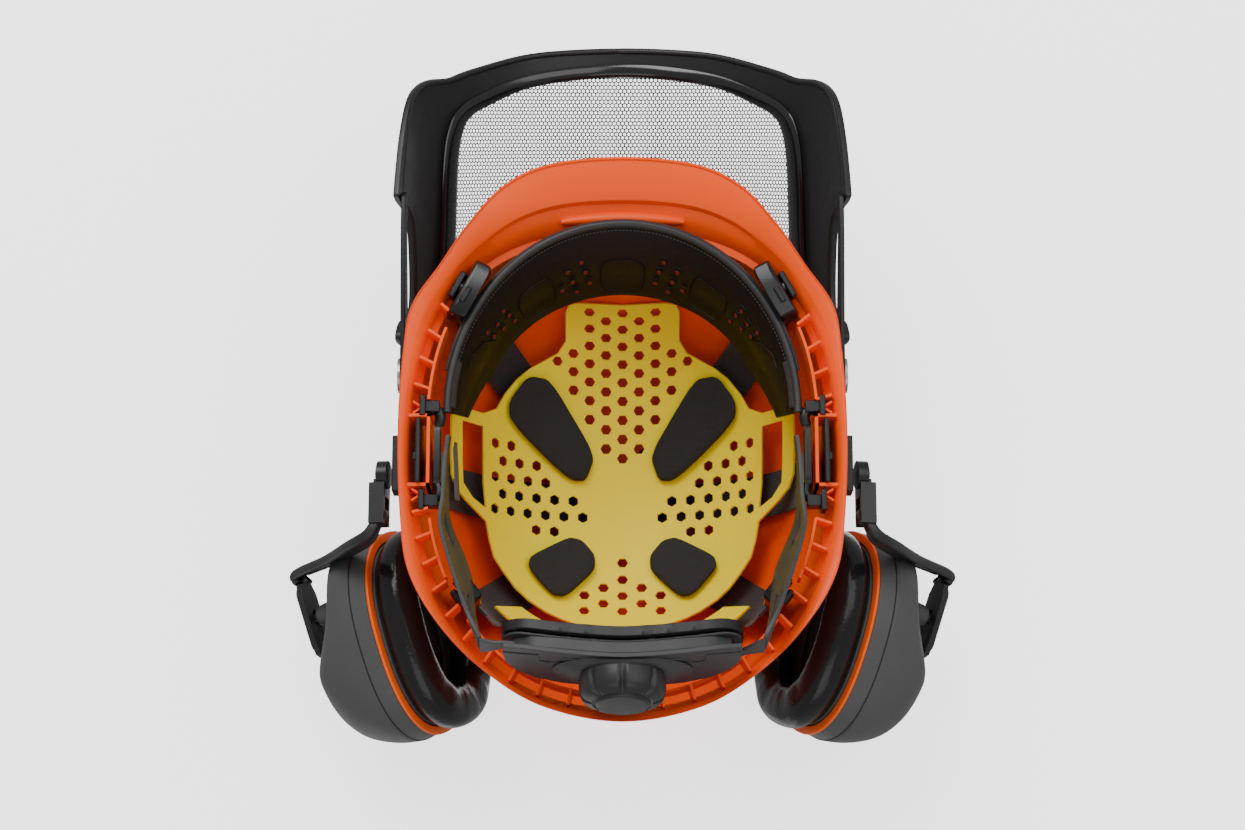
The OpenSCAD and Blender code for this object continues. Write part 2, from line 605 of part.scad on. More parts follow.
shell();
front_clips();
side_upper_clips();
side_lower_clips();
rear_clips();
side_hangers();
diagonal_strap_left();
diagonal_strap_right();
lateral_strap();
headband();
sweatband();
liner();
front_left_pad();
front_right_pad();
rear_left_pad();
rear_right_pad();
label_strip();
liner_anchors();
left_side_strap();
right_side_strap();
nape_housing();
nape_cover();
nape_pad();
pinion();
knob();
visor_pins();
visor_arms();
visor_frame();
visor_mesh();
visor_retainer();
left_socket_blade();
left_hinge_block();
left_flip_pin();
left_arm();
left_slider_plate();
left_stud();
left_cup();
left_cup_foam();
left_backplate();
left_trim_ring();
left_cushion();
right_socket_blade();
right_hinge_block();
right_flip_pin();
right_arm();
right_slider_plate();
right_stud();
right_cup();
right_cup_foam();
right_backplate();
right_trim_ring();
right_cushion();
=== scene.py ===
import json
import math

import bmesh
import bpy
import numpy as np
from mathutils import Matrix, Vector, geometry, noise


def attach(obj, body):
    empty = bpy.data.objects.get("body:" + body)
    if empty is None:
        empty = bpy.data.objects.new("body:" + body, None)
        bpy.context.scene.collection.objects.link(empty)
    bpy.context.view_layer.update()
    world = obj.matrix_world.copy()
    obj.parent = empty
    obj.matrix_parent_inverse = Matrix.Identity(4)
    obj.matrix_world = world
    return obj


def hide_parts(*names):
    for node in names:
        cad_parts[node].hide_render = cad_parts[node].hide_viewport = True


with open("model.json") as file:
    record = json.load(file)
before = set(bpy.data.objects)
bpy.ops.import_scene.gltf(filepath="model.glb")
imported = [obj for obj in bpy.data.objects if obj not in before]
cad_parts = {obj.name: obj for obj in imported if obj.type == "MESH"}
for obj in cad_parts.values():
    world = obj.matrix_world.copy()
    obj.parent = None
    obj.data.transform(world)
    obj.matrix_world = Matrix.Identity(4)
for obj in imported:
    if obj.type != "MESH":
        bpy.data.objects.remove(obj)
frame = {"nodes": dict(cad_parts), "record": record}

bl_info = {
    "name": "Forestry hard hat",
    "version": (1, 0, 0),
    "blender": (4, 5, 0),
    "location": "3D Viewport > Sidebar > Hard hat",
    "description": "Builds the looks of a hard hat with mesh visor, ear muffs and head harness",
    "category": "Object",
}

MM = 0.001
SIDES = ((-1, "left"), (1, "right"))
X_AXIS, Y_AXIS, Z_AXIS = np.eye(3)

# ---- Shell form, in millimetres ----
CROWN = 150.0
WALL = 3.0
MID_Y = 14.0
FOOT_X = 108.0
FOOT_FRONT = 126.0
FOOT_REAR = 130.0
SOCKET_Y = 12.0
RIM_HALF = [(38, -143), (62, -131), (80, -110), (94, -88), (108, -66), (112, -42), (114, 0), (112, 45),
            (107, 74), (92, 100), (70, 123), (40, 142)]


def lerp(a, b, t):
    return a + (b - a) * t


def unit(v):
    v = np.asarray(v, float)
    return v / np.linalg.norm(v)


def spline(points, steps, closed=False):
    """Smooth curve through the points, as an array with steps rows for each span."""
    p = np.asarray(points, float)
    n = len(p)
    spans = n if closed else n - 1
    out = []
    for i in range(spans):
        if closed:
            a, b, c, d = p[(i - 1) % n], p[i], p[(i + 1) % n], p[(i + 2) % n]
        else:
            a, b, c, d = p[max(i - 1, 0)], p[i], p[i + 1], p[min(i + 2, n - 1)]
        for j in range(steps):
            t = j / steps
            out.append(0.5 * (2 * b + (c - a) * t + (2 * a - 5 * b + 4 * c - d) * t ** 2
                              + (3 * b - a - 3 * c + d) * t ** 3))
    if not closed:
        out.append(p[-1])
    return np.array(out)


def rim_z(y):
    if y < -40:
        return 3 * ((-40 - y) / 107) ** 1.5
    if y > 40:
        return -12 * ((y - 40) / 110) ** 1.6
    return 0.0


def brim_z(y):
    lift = 8 * min(1, (-60 - y) / 50) if y < -60 else 0
    return 14 + lift + rim_z(y) / 2


def foot(a):
    c, s = abs(math.cos(a)), math.sin(a)
    power, reach = (2.6, FOOT_FRONT) if s < 0 else (2.2, FOOT_REAR)
    return ((c / FOOT_X) ** power + (abs(s) / reach) ** power) ** (-1 / power)


def dome_scale(z, top):
    return max(0.0, 1 - (max(z, 0) / top) ** 2.4) ** (1 / 2.2)


def dome_z(x, y, inset, top):
    q = math.hypot(x, y - MID_Y) / (foot(math.atan2(y - MID_Y, x)) - inset)
    return top * max(0.0, 1 - q ** 2.2) ** (1 / 2.4)


def oval(a, b, n, power=2.3):
    t = np.arange(n) * 2 * math.pi / n
    c, s = np.cos(t), np.sin(t)
    return np.stack([a * np.sign(c) * abs(c) ** (2 / power), b * np.sign(s) * abs(s) ** (2 / power)], 1)


# ---- Frames of the nape unit, the visor and the ear muffs ----
NAPE_TILT = math.radians(13)
NAPE = (np.array([0, 128.0, -33.0]), np.array([-1.0, 0, 0]),
        np.array([0, math.sin(NAPE_TILT), math.cos(NAPE_TILT)]),
        np.array([0, math.cos(NAPE_TILT), -math.sin(NAPE_TILT)]))
DROP = math.radians(20)
VISOR = (np.array([0, -36.0, 28.0]), np.array([-1.0, 0, 0]),
         np.array([0, -math.cos(DROP), -math.sin(DROP)]), np.array([0, -math.sin(DROP), math.cos(DROP)]))
VISOR_R = 118.0
REACH = 172.0
CUP_OUT = unit([-0.885, 0.168, 0.434])
CUP_ALONG = np.array([0.29, 0.928, 0.232])
CUP_ALONG = unit(CUP_ALONG - CUP_OUT * (CUP_ALONG @ CUP_OUT))
CUP_ACROSS = np.cross(CUP_ALONG, CUP_OUT)
CUP = (np.array([-108.0, 89.0, 85.0]), CUP_ACROSS, CUP_ALONG, CUP_OUT)
CUP_LONG = 56.0
CUP_WIDE = 45.0
CUP_DEEP = 54.0
STUD = -22.0
SLIDER = CUP_DEEP + 4
SWING_AXIS = unit([-1, 0, 0.15])
SWING_SIDE = np.array([0, 1.0, 0])
SWING_UP = np.cross(SWING_AXIS, SWING_SIDE)
SWING = (np.array([-119.0, 20.0, 14.0]), SWING_SIDE, SWING_UP, SWING_AXIS)


def place(at, x, y, z):
    """Point of a placed frame from its own coordinates."""
    o, ax, ay, az = at
    return o + ax * x + ay * y + az * z


# ---- Meshes ----
class Form:
    """Collects the points and faces of one piece, in millimetres."""

    def __init__(self):
        self.points = []
        self.faces = []
        self.uv = {}

    def add(self, points, faces):
        n = len(self.points)
        self.points += [tuple(p) for p in points]
        self.faces += [tuple(n + i for i in f) for f in faces]
        return n

    def loft(self, rings, closed=True, caps=True, loop=False):
        """Skin over rings of equal length."""
        m, n = len(rings), len(rings[0])
        faces = []
        for k in range(m if loop else m - 1):
            h = (k + 1) % m
            for i in range(n if closed else n - 1):
                j = (i + 1) % n
                faces.append((k * n + i, k * n + j, h * n + j, h * n + i))
        if caps and closed and not loop:
            faces.append(tuple(range(n))[::-1])
            faces.append(tuple((m - 1) * n + i for i in range(n)))
        return self.add([p for r in rings for p in r], faces)

    def box(self, at, size, axes=((1, 0, 0), (0, 1, 0), (0, 0, 1))):
        a = [np.array(v, float) * s / 2 for v, s in zip(axes, size)]
        ring = [(-1, -1), (1, -1), (1, 1), (-1, 1)]
        rings = [[np.array(at, float) + a[0] * u + a[1] * v + a[2] * w for u, v in ring] for w in (-1, 1)]
        self.loft(rings)

    def tube(self, path, radius, sides=10, loop=False):
        """Round bar along a path; radius may be one value or one for each point."""
        p = np.asarray(path, float)
        n = len(p)
        r = np.broadcast_to(radius, (n,))
        rings = []
        side = None
        for i in range(n):
            if loop:
                d = unit(p[(i + 1) % n] - p[i - 1])
            else:
                d = unit(p[min(i + 1, n - 1)] - p[max(i - 1, 0)])
            if side is None:
                side = unit(np.cross(d, [0.3, 0.2, 1]))
            side = unit(side - d * (side @ d))
            up = np.cross(d, side)
            a = np.arange(sides) * 2 * math.pi / sides
            rings.append(p[i] + (np.cos(a)[:, None] * side + np.sin(a)[:, None] * up) * r[i])
        self.loft(rings, loop=loop)

    def slab(self, outline, at, low, high, holes=()):
        """Flat outline, with holes, between two heights of a placed frame."""
        flat, faces = fill(outline, holes)
        for height, turn in ((low, -1), (high, 1)):
            self.add([place(at, x, y, height) for x, y in flat], [f[::turn] for f in faces])
        for loop_points in [outline, *holes]:
            rings = [[place(at, x, y, h) for x, y in loop_points] for h in (low, high)]
            self.loft(rings, caps=False)

    def piece(self, name, body, slot, stands_for=(), crease=35, mirror=False, paint=None):
        """Makes the object, hands it to its body and returns it; it wears its slot's paint or a named one."""
        points = np.array(self.points) * MM
        faces = self.faces
        if mirror:
            points = points * np.array([-1, 1, 1])
            faces = [f[::-1] for f in faces]
        mesh = bpy.data.meshes.new(name)
        mesh.from_pydata(points.tolist(), [], faces)
        mesh.validate()
        weld(mesh, 0.02 * MM)
        mesh.shade_smooth()
        mesh.set_sharp_from_angle(angle=math.radians(crease))
        mesh.materials.append(PAINTS[paint or slot])
        obj = bpy.data.objects.new(name, mesh)
        bpy.context.scene.collection.objects.link(obj)
        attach(obj, body)
        if stands_for:
            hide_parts(*stands_for)
        return obj


def weld(mesh, distance):
    """Joins points that lie closer than the distance and turns the faces outwards."""
    b = bmesh.new()
    b.from_mesh(mesh)
    bmesh.ops.remove_doubles(b, verts=b.verts, dist=distance)
    bmesh.ops.recalc_face_normals(b, faces=b.faces)
    b.to_mesh(mesh)
    b.free()


def fill(outline, holes=(), inner=()):
    """Triangles of a flat outline with holes and loose inner points: returns points and faces."""
    points, edges = [], []
    for ring in [outline, *holes]:
        n = len(points)
        points += [Vector((float(x), float(y))) for x, y in ring]
        edges += [(n + i, n + (i + 1) % len(ring)) for i in range(len(ring))]
    points += [Vector((float(x), float(y))) for x, y in inner]
    flat, _, faces, _, _, _ = geometry.delaunay_2d_cdt(points, edges, [], 1 if not holes else 0, 1e-5)
    rings = [np.array(r, float) for r in [outline, *holes]]
    kept = []
    for f in faces:
        c = np.mean([flat[i] for i in f], axis=0)
        if inside(c, rings[0]) and not any(inside(c, r) for r in rings[1:]):
            kept.append(tuple(f))
    return [tuple(p) for p in flat], kept


def inside(p, ring):
    x, y = p[0], p[1]
    a, b = ring, np.roll(ring, -1, axis=0)
    crosses = (a[:, 1] > y) != (b[:, 1] > y)
    if not crosses.any():
        return False
    a, b = a[crosses], b[crosses]
    at = a[:, 0] + (y - a[:, 1]) * (b[:, 0] - a[:, 0]) / (b[:, 1] - a[:, 1])
    return int((at > x).sum()) % 2 == 1


def circle(radius, n):
    return [(radius * math.cos(t), radius * math.sin(t)) for t in np.arange(n) * math.pi / (n / 2)]


def hexagon(x, y, radius, turn=0.0):
    return [(x + radius * math.cos(turn + i * math.pi / 3), y + radius * math.sin(turn + i * math.pi / 3))
            for i in range(6)]


def bevel(obj, width, segments=2, angle=35):
    m = obj.modifiers.new("Bevel", "BEVEL")
    m.width = width * MM
    m.segments = segments
    m.limit_method = "ANGLE"
    m.angle_limit = math.radians(angle)
    return obj


def solid(obj, thickness, offset=0.0):
    m = obj.modifiers.new("Solidify", "SOLIDIFY")
    m.thickness = thickness * MM
    m.offset = offset
    return obj


def rounded(w, h, r, n=6):
    """Rectangle outline with round corners."""
    out = []
    for cx, cy, a0 in ((1, 1, 0), (-1, 1, 90), (-1, -1, 180), (1, -1, 270)):
        for i in range(n + 1):
            a = math.radians(a0 + 90 * i / n)
            out.append((cx * (w / 2 - r) + r * math.cos(a), cy * (h / 2 - r) + r * math.sin(a)))
    return out


# ---- Materials ----
class Value:
    """One output of a shader node, with arithmetic."""

    def __init__(self, paint, socket):
        self.paint = paint
        self.socket = socket

    def maths(self, operation, *others):
        return self.paint.node("ShaderNodeMath", {"operation": operation}, self, *others)

    def __add__(self, other):
        return self.maths("ADD", other)

    def __radd__(self, other):
        return self.maths("ADD", other)

    def __mul__(self, other):
        return self.maths("MULTIPLY", other)

    def __rmul__(self, other):
        return self.maths("MULTIPLY", other)

    def sine(self):
        return self.maths("SINE")


class Paint:
    """A node material built by calls."""

    def __init__(self, name):
        self.material = bpy.data.materials.new(name)
        self.material.use_nodes = True
        self.tree = self.material.node_tree
        self.shader = self.tree.nodes["Principled BSDF"]

    def node(self, kind, settings=None, *inputs, output=0, **named):
        made = self.tree.nodes.new(kind)
        for key, value in (settings or {}).items():
            setattr(made, key, value)
        for key, value in [*enumerate(inputs), *named.items()]:
            self.put(made.inputs[key], value)
        return Value(self, made.outputs[output])

    def put(self, socket, value):
        if isinstance(value, Value):
            self.tree.links.new(value.socket, socket)
        else:
            socket.default_value = value

    def where(self):
        return self.node("ShaderNodeTexCoord", output="Object")

    def noise(self, scale, detail=4.0, rough=0.5):
        return self.node("ShaderNodeTexNoise", {"noise_dimensions": "3D"}, Vector=self.where(), Scale=scale,
                         Detail=detail, Roughness=rough)

    def cells(self, scale, feature="F1"):
        return self.node("ShaderNodeTexVoronoi", {"feature": feature}, Vector=self.where(), Scale=scale)

    def mix(self, factor, a, b):
        made = self.tree.nodes.new("ShaderNodeMix")
        made.data_type = "RGBA"
        self.put(made.inputs[0], factor)
        self.put(made.inputs[6], a)
        self.put(made.inputs[7], b)
        return Value(self, made.outputs[2])

    def bump(self, height, strength, distance):
        return self.node("ShaderNodeBump", {}, Strength=strength, Distance=distance, Height=height)

    def finish(self, **sockets):
        for name, value in sockets.items():
            self.put(self.shader.inputs[name.replace("_", " ")], value)
        return self.material


def colour(r, g, b):
    return (r, g, b, 1.0)


def moulded(name, base, rough, grain=900.0, height=0.00004, coat=0.0, worn=0.12, shine=0.35):
    """Moulded plastic with a fine texture, faint flow marks and a little wear in its gloss."""
    p = Paint(name)
    shade = tuple(c * (1 - worn) for c in base)
    tone = p.mix(p.noise(18.0, 3.0), colour(*shade), colour(*base))
    roughness = rough * 0.8 + p.noise(60.0, 5.0) * rough * 0.4
    texture = p.noise(grain, 2.0) + p.noise(45.0, 2.0) * 0.4
    return p.finish(Base_Color=tone, Roughness=roughness, Normal=p.bump(texture, 0.35, height),
                    Coat_Weight=coat, Coat_Roughness=0.2, Specular_IOR_Level=shine)


def leather(name, base, rough, cell=520.0):
    p = Paint(name)
    crease = p.cells(cell, "DISTANCE_TO_EDGE")
    tone = p.mix(p.noise(40.0), colour(*[c * 0.7 for c in base]), colour(*base))
    height = crease.maths("MINIMUM", 0.25) * 3 + p.noise(700.0, 2.0) * 0.3
    roughness = rough * 0.85 + p.noise(120.0) * rough * 0.3
    return p.finish(Base_Color=tone, Roughness=roughness, Specular_IOR_Level=0.3,
                    Normal=p.bump(height, 0.5, 0.00012))


def woven(name, base, pitch=0.0014):
    """Ribbed webbing: ribs along the strap crossed by finer yarns, with painted shade darkening the low parts
    between them; its UV map is in metres.
    """
    p = Paint(name)
    uv = p.node("ShaderNodeUVMap", {"uv_map": "cloth"})
    across = p.node("ShaderNodeSeparateXYZ", {}, uv, output=0)
    along = p.node("ShaderNodeSeparateXYZ", {}, uv, output=1)
    ribs = (across * (2 * math.pi / pitch)).sine()
    yarn = (along * (2 * math.pi / (pitch * 0.6)) + ribs * 1.5).sine()
    height = ribs * 0.35 + yarn * 0.3 + p.noise(2500.0, 2.0) * 0.5
    # painted shade: the colour follows the weave's height, so the grooves between ribs and yarns are painted
    # darker
    tone = p.mix(height, colour(*[c * 0.45 for c in base]), colour(*base))
    return p.finish(Base_Color=tone, Roughness=0.78, Sheen_Weight=0.25, Normal=p.bump(height, 0.7, 0.0002))


def foam(name, base):
    p = Paint(name)
    brushed = p.node("ShaderNodeMapping", {}, p.where(), Scale=(1.0, 5.0, 1.0))
    streaks = p.node("ShaderNodeTexNoise", {}, Vector=brushed, Scale=90.0, Detail=6.0)
    pores = p.cells(1300.0)
    tone = p.mix(streaks, colour(*[c * 0.6 for c in base]), colour(*[c * 1.7 for c in base]))
    return p.finish(Base_Color=tone, Roughness=0.75 + streaks * 0.2,
                    Normal=p.bump(pores * 0.6 + streaks, 0.6, 0.00015))


def steel(name, base, rough):
    p = Paint(name)
    lines = p.node("ShaderNodeMapping", {}, p.where(), Scale=(1.0, 14.0, 14.0))
    brush = p.node("ShaderNodeTexNoise", {}, Vector=lines, Scale=240.0, Detail=3.0)
    tone = p.mix(brush, colour(*[c * 0.75 for c in base]), colour(*base))
    return p.finish(Base_Color=tone, Metallic=0.85, Roughness=rough + brush * 0.15,
                    Normal=p.bump(brush, 0.2, 0.00004))


PAINTS = {}


def mix_paints(shell, trim, liner, cup, harness, straps):
    """Every material of the hat by its slot, then the extra ones that single pieces wear."""
    PAINTS.update({
        "shell_plastic": moulded("Hat plastic", shell, 0.36, 700.0, 0.00003, 0.0, 0.05, 0.22),
        "trim_plastic": moulded("Trim plastic", trim, 0.45, 900.0, 0.00004, 0.0),
        "clip_plastic": moulded("Clip plastic", (0.012, 0.012, 0.013), 0.33, 800.0, 0.00004),
        "harness_plastic": moulded("Harness plastic", harness, 0.5, 1300.0, 0.00006),
        "knob_plastic": moulded("Knob plastic", (0.02, 0.02, 0.021), 0.42, 1100.0, 0.00006),
        "visor_plastic": moulded("Visor plastic", (0.016, 0.016, 0.017), 0.4, 1000.0, 0.00006),
        "arm_plastic": moulded("Arm plastic", (0.022, 0.022, 0.023), 0.48, 1000.0, 0.00007),
        "cup_plastic": moulded("Cup plastic", cup, 0.5, 1500.0, 0.00008),
        "liner_plastic": moulded("Liner sheet", liner, 0.5, 600.0, 0.00002, 0.0, 0.03, 0.2),
        "label": moulded("Label strip", (0.13, 0.135, 0.14), 0.5, 1600.0, 0.00008),
        "sweatband_leather": leather("Sweatband leather", (0.004, 0.004, 0.0045), 0.5),
        "cushion_vinyl": leather("Cushion vinyl", (0.012, 0.012, 0.013), 0.2, 260.0),
        "webbing": woven("Webbing", straps),
        "pad_foam": foam("Pad foam", (0.014, 0.014, 0.015)),
        "cup_foam": foam("Cup foam", (0.03, 0.03, 0.031)),
        "steel_pins": steel("Steel pins", (0.55, 0.55, 0.56), 0.3),
        "mesh_steel": steel("Mesh steel", (0.035, 0.035, 0.037), 0.4),
        "seal": moulded("Seal plastic", (0.006, 0.006, 0.007), 0.12, 500.0, 0.00002, 0.5),
        "piping": moulded("Piping", (0.028, 0.028, 0.03), 0.42, 900.0, 0.00008),
        "clip_gloss": moulded("Clip gloss", (0.01, 0.01, 0.011), 0.2, 700.0, 0.00003),
        "thread": moulded("Thread", (0.055, 0.055, 0.058), 0.6, 1500.0, 0.0001),
        "felt": foam("Felt", (0.03, 0.03, 0.031)),
        "nape_foam": moulded("Nape foam", (0.014, 0.014, 0.015), 0.45, 1100.0, 0.00008),
        # painted shade: a dark red-orange that stands for the shade in the sweatband's eyelet holes
        "eyelet_hole_shade": moulded("Eyelet hole shade", (0.2, 0.014, 0.0), 0.7, 900.0, 0.00004),
    })
    for part in frame["record"]["subparts"]:
        mesh = frame["nodes"][part["node"]].data
        mesh.materials.clear()
        mesh.materials.append(PAINTS[part["material_slot"]])


# ---- Shell ----
def rim_curve(steps):
    points = [(0, -147), *RIM_HALF, (0, 150), *[(-x, y) for x, y in RIM_HALF[::-1]]]
    return spline(points, steps, closed=True)


def socket_near(x, y):
    """1 beside an accessory socket, falling to 0 away from it."""
    gap = abs(y - SOCKET_Y) - 19
    return float(np.clip(1 - gap / 3, 0, 1)) if abs(x) > 90 else 0.0


def crown_relief(x, y, z):
    """Low raised bands that run over the crown from front to back."""
    band = math.exp(-((x / 17) ** 6)) * 1.6 + math.exp(-(((abs(x) - 44) / 9) ** 4)) * 1.1
    return band * float(np.clip((z - 70) / 40, 0, 1))


# share of the way from the foot to the rim, and lift, of the rings under the brim
UNDER_BRIM = ((0.985, -2.7), (0.955, -2.7), (0.94, -1.8), (0.86, -2.0), (0.7, -2.1), (0.5, -2.1), (0.4, -2.1),
              (0.38, -2.0), (0.35, -2.0), (0.2, -2.0), (0.06, -1.4), (0.01, 0.0))


def shell_form():
    """Dome, brim and hollow inside as one skin, from the crown outwards and back."""
    rim = rim_curve(10)
    angles = [math.atan2(y - MID_Y, x) for x, y in rim]
    form = Form()

    def ring(place_point):
        return [place_point(p, a) for p, a in zip(rim, angles)]

    def dome(turn, inset, top, low_drop, relief):
        def at(p, a):
            cut = lerp(inset, 1.2, socket_near(p[0], p[1])) if inset and turn < 0.12 else inset
            low = brim_z(p[1]) - low_drop
            z = lerp(low, top, math.sin(turn * math.pi / 2))
            r = (foot(a) - cut) * dome_scale(z, top)
            x, y = r * math.cos(a), MID_Y + r * math.sin(a)
            return (x, y, z + (crown_relief(x, y, z) if relief else 0))
        return ring(at)

    def brim(t, lift, under):
        def at(p, a):
            r = foot(a)
            f = np.array([r * math.cos(a), MID_Y + r * math.sin(a)])
            q = lerp(f, p, t)
            wide = np.linalg.norm(p - f)
            lean = 0.8 if not under else lerp(0.22, 0.8, float(np.clip((wide - 9) / 12, 0, 1)))
            top = brim_z(p[1]) - (WALL if under else 0)
            # the peak's thick outer band ends in a step towards the dome
            thick = float(np.clip((1 - t) / 0.4, 0, 1)) if under and t > 0.37 else 0.0
            drop = 2.6 * thick * float(np.clip((wide - 12) / 12, 0, 1))
            return (q[0], q[1], lerp(top, rim_z(p[1]), max(t, 0) ** lean) + lift - drop)
        return ring(at)

    turns = np.concatenate([[0.9999, 0.998, 0.993], np.linspace(0.985, 0.0, 30)])
    rings = [dome(t, 0, CROWN, 0, True) for t in turns]
    rings += [brim(t, 0, False) for t in (0.06, 0.15, 0.3, 0.5, 0.7, 0.88, 0.96)]
    rings += [brim(1.0, -0.5, False), brim(1.0, -1.3, False)]
    rings += [brim(t, lift, True) for t, lift in UNDER_BRIM]
    rings += [dome(t, WALL, CROWN - WALL, WALL, False) for t in turns[::-1]]
    form.loft(rings)
    return form


def wall_point(a, inset):
    r = foot(a) - inset
    return np.array([r * math.cos(a), MID_Y + r * math.sin(a)])


def ribbon(form, path, low, high, thick):
    """Upright wall along plan points."""
    p = np.asarray(path, float)
    n = len(p)
    rings = []
    for i in range(n):
        d = unit(p[min(i + 1, n - 1)] - p[max(i - 1, 0)])
        o = np.array([d[1], -d[0]]) * thick / 2
        rings.append([(*(p[i] - o), low), (*(p[i] + o), low), (*(p[i] + o), high), (*(p[i] - o), high)])
    form.loft(rings)


def shell_details(form):
    """Ribs, inner wall, sockets and the bar under the peak."""
    inset = 8.6
    for low, high in ((-51, -47.5), (-37, -17), (18, 35), (47, 90)):
        path = [wall_point(math.radians(a), inset) for a in np.linspace(low, high, 24)]
        ribbon(form, path, -1.4, 13, 1.4)
        ribbon(form, [(-x, y) for x, y in path[::-1]], -1.4, 13, 1.4)
    for step in range(-45, 226, 7):
        a = math.radians(step)
        x, y = wall_point(a, inset)
        if abs(y - SOCKET_Y) < 27 or abs(abs(step) - 42) < 4 and y < 0:
            continue
        out = np.array([math.cos(a), math.sin(a), 0])
        across = np.array([-out[1], out[0], 0])
        low = rim_z(y) - 1.1
        reach = 8.4
        form.box((x + out[0] * reach / 2, y + out[1] * reach / 2, (low + 12) / 2), (reach, 1.3, 12 - low),
                 (out, across, (0, 0, 1)))
    for s in (-1, 1):
        for x0, x1, y0, y1 in ((97.6, 108.6, -8.6, -7), (97.6, 108.6, 27.4, 29), (97.6, 99.3, -8.6, 29)):
            form.box((s * (x0 + x1) / 2, (y0 + y1) / 2, 9.5), (x1 - x0, y1 - y0, 21))
        for y0, y1 in ((-9.5, -15.5), (30, 36)):
            for y_from, y_to in ((y0, (y0 + y1) / 2), (y1, (y0 + y1) / 2)):
                a, b = np.array([s * 106.6, y_from]), np.array([s * 101.8, y_to])
                ribbon(form, [a, b], 1, 12, 1.0)
    bar = []
    for x in np.linspace(-32, 32, 25):
        y = -117.4 + x * x / 420
        bar.append((x, y, 14.4 - x * x / 900))
    thick = [3.0 * math.sin(math.pi * (i + 0.6) / 25.2) ** 0.35 for i in range(25)]
    form.tube(bar, thick, 12)


def build_shell():
    form = shell_form()
    shell_details(form)
    form.piece("hat_shell", "helmet", "shell_plastic", ["shell"], 32)


# ---- Clips and hangers ----
# name, place, turn in degrees, and width and thickness factors of the clip blocks
CLIP_BLOCKS = (("front", (80, -75, 6), -28, 1.65, 1.7), ("rear", (78.5, 82, 7), 38, 0.9, 1.0))
# height, width factor and lean of a clip block's sections
CLIP_SECTIONS = ((-10, 0.6, -2.6), (-9, 0.9, -1.6), (-4, 1.0, 0), (6, 1.0, 0), (8, 0.9, 0))


def build_clips():
    for s, side in SIDES:
        for name, y, turn in (("upper", -13, 1), ("lower", 36, -1)):
            form = Form()
            form.box((s * 101.6, y, 4), (3, 10.5, 12))
            form.box((s * 97, y, 5), (8, 6, 9))
            neck = [(s * 94, y + turn, 5), (s * 92.6, y + 5 * turn, 5), (s * 93.6, y + 9 * turn, 6)]
            form.tube(spline(neck, 5), 3.0, 8)
            obj = form.piece(f"{side}_{name}_clip", "helmet", "clip_plastic", (), 30)
            bevel(obj, 0.8)
            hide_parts(f"side_{name}_clips")
        form = Form()
        at = (np.array([s * 94.2, 11.5, 8.0]), Y_AXIS, Z_AXIS, X_AXIS)
        form.slab(rounded(34, 12, 5), at, -1.5, 1.5, [rounded(27, 4.6, 2.2)])
        form.tube([place(at, x, y, 0) for x, y in rounded(31, 8.6, 4.2)], 1.7, 8, loop=True)
        obj = form.piece(f"{side}_hanger", "helmet", "clip_plastic", (), 30)
        bevel(obj, 0.4)
        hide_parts("side_hangers")
        for name, (x, y, z), turn, grow, thick in CLIP_BLOCKS:
            a = math.radians(turn)
            along = np.array([-s * math.sin(a), math.cos(a), 0])
            out = np.array([s * math.cos(a), math.sin(a), 0])
            axes = (along, out, Z_AXIS)
            c = np.array([s * x, y, z])
            rings = []
            for high, k, lean in CLIP_SECTIONS:
                rings.append([c + along * u * k * grow + out * (v * thick + lean) + Z_AXIS * high
                              for u, v in ((-10, -3), (10, -3), (10, 2), (-10, 2))])
            form = Form()
            form.loft(rings)
            form.box(c + out * 5.5 + Z_AXIS * -2, (9 * grow, 3.4, 9), axes)
            form.tube([c + out * 2 + Z_AXIS * -2, c + out * 6.5 + Z_AXIS * -2], 3.6, 16)
            form.box(c - out * 3.2 + Z_AXIS * -5, (12 * grow, 2.2, 4), axes)
            if name == "front":
                form.box(c + out * -1.5 + Z_AXIS * -9.5 + along * 4, (9, 3.4, 3), axes)
            obj = form.piece(f"{side}_{name}_clip_block", "helmet", "clip_plastic", (), 25,
                             paint="clip_gloss")
            bevel(obj, 0.9)
            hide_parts(f"{name}_clips")


# ---- Webbing ----
def strap_points(kind):
    """Lower-face points of a strap and the direction of its width."""
    inset = 9
    top = CROWN - inset
    if kind == "lateral":
        line = [(-93.5, 17), (-95, 40), (-94.5, 62), (-90.5, 80), (-80, 97), (-60, 116), (-30, 131), (0, 136)]
        line += [(-x, z) for x, z in line[-2::-1]]
        return np.array([(x, SOCKET_Y, z) for x, z in spline(line, 5)]), np.array([0, -1.0, 0])
    s, drop = (1, 0.0) if kind == "left" else (-1, 2.7)
    path = [(-s * 79, -73, 23)]
    path += [(s * (t - 6), t, dome_z(s * (t - 6), t, inset, top) - drop) for t in range(-72, 81, 8)]
    path += [(s * 77.5, 83.5, 18)]
    return spline(path, 3), unit([1, -s, 0])


def strap_sheet(name, path, side, width, nodes, thick=1.2):
    """Flat textile strip along a path, with its UV map in metres."""
    columns = 6
    p = np.asarray(path, float)
    gaps = np.r_[0, np.cumsum(np.linalg.norm(np.diff(p, axis=0), axis=1))]
    form = Form()
    sides = np.broadcast_to(side, p.shape)
    rows = [[at + unit(way) * width * (k / columns - 0.5) for k in range(columns + 1)]
            for at, way in zip(p, sides)]
    form.loft(rows, closed=False, caps=False)
    obj = form.piece(name, "helmet", "webbing", nodes, 60)
    layer = obj.data.uv_layers.new(name="cloth")
    for loop in obj.data.loops:
        v = np.array(obj.data.vertices[loop.vertex_index].co) / MM
        i = int(np.argmin(np.linalg.norm(p - v, axis=1)))
        layer.data[loop.index].uv = (float((v - p[i]) @ unit(sides[i])) * MM, gaps[i] * MM)
    solid(obj, thick)
    bevel(obj, 0.35, 2)
    return obj


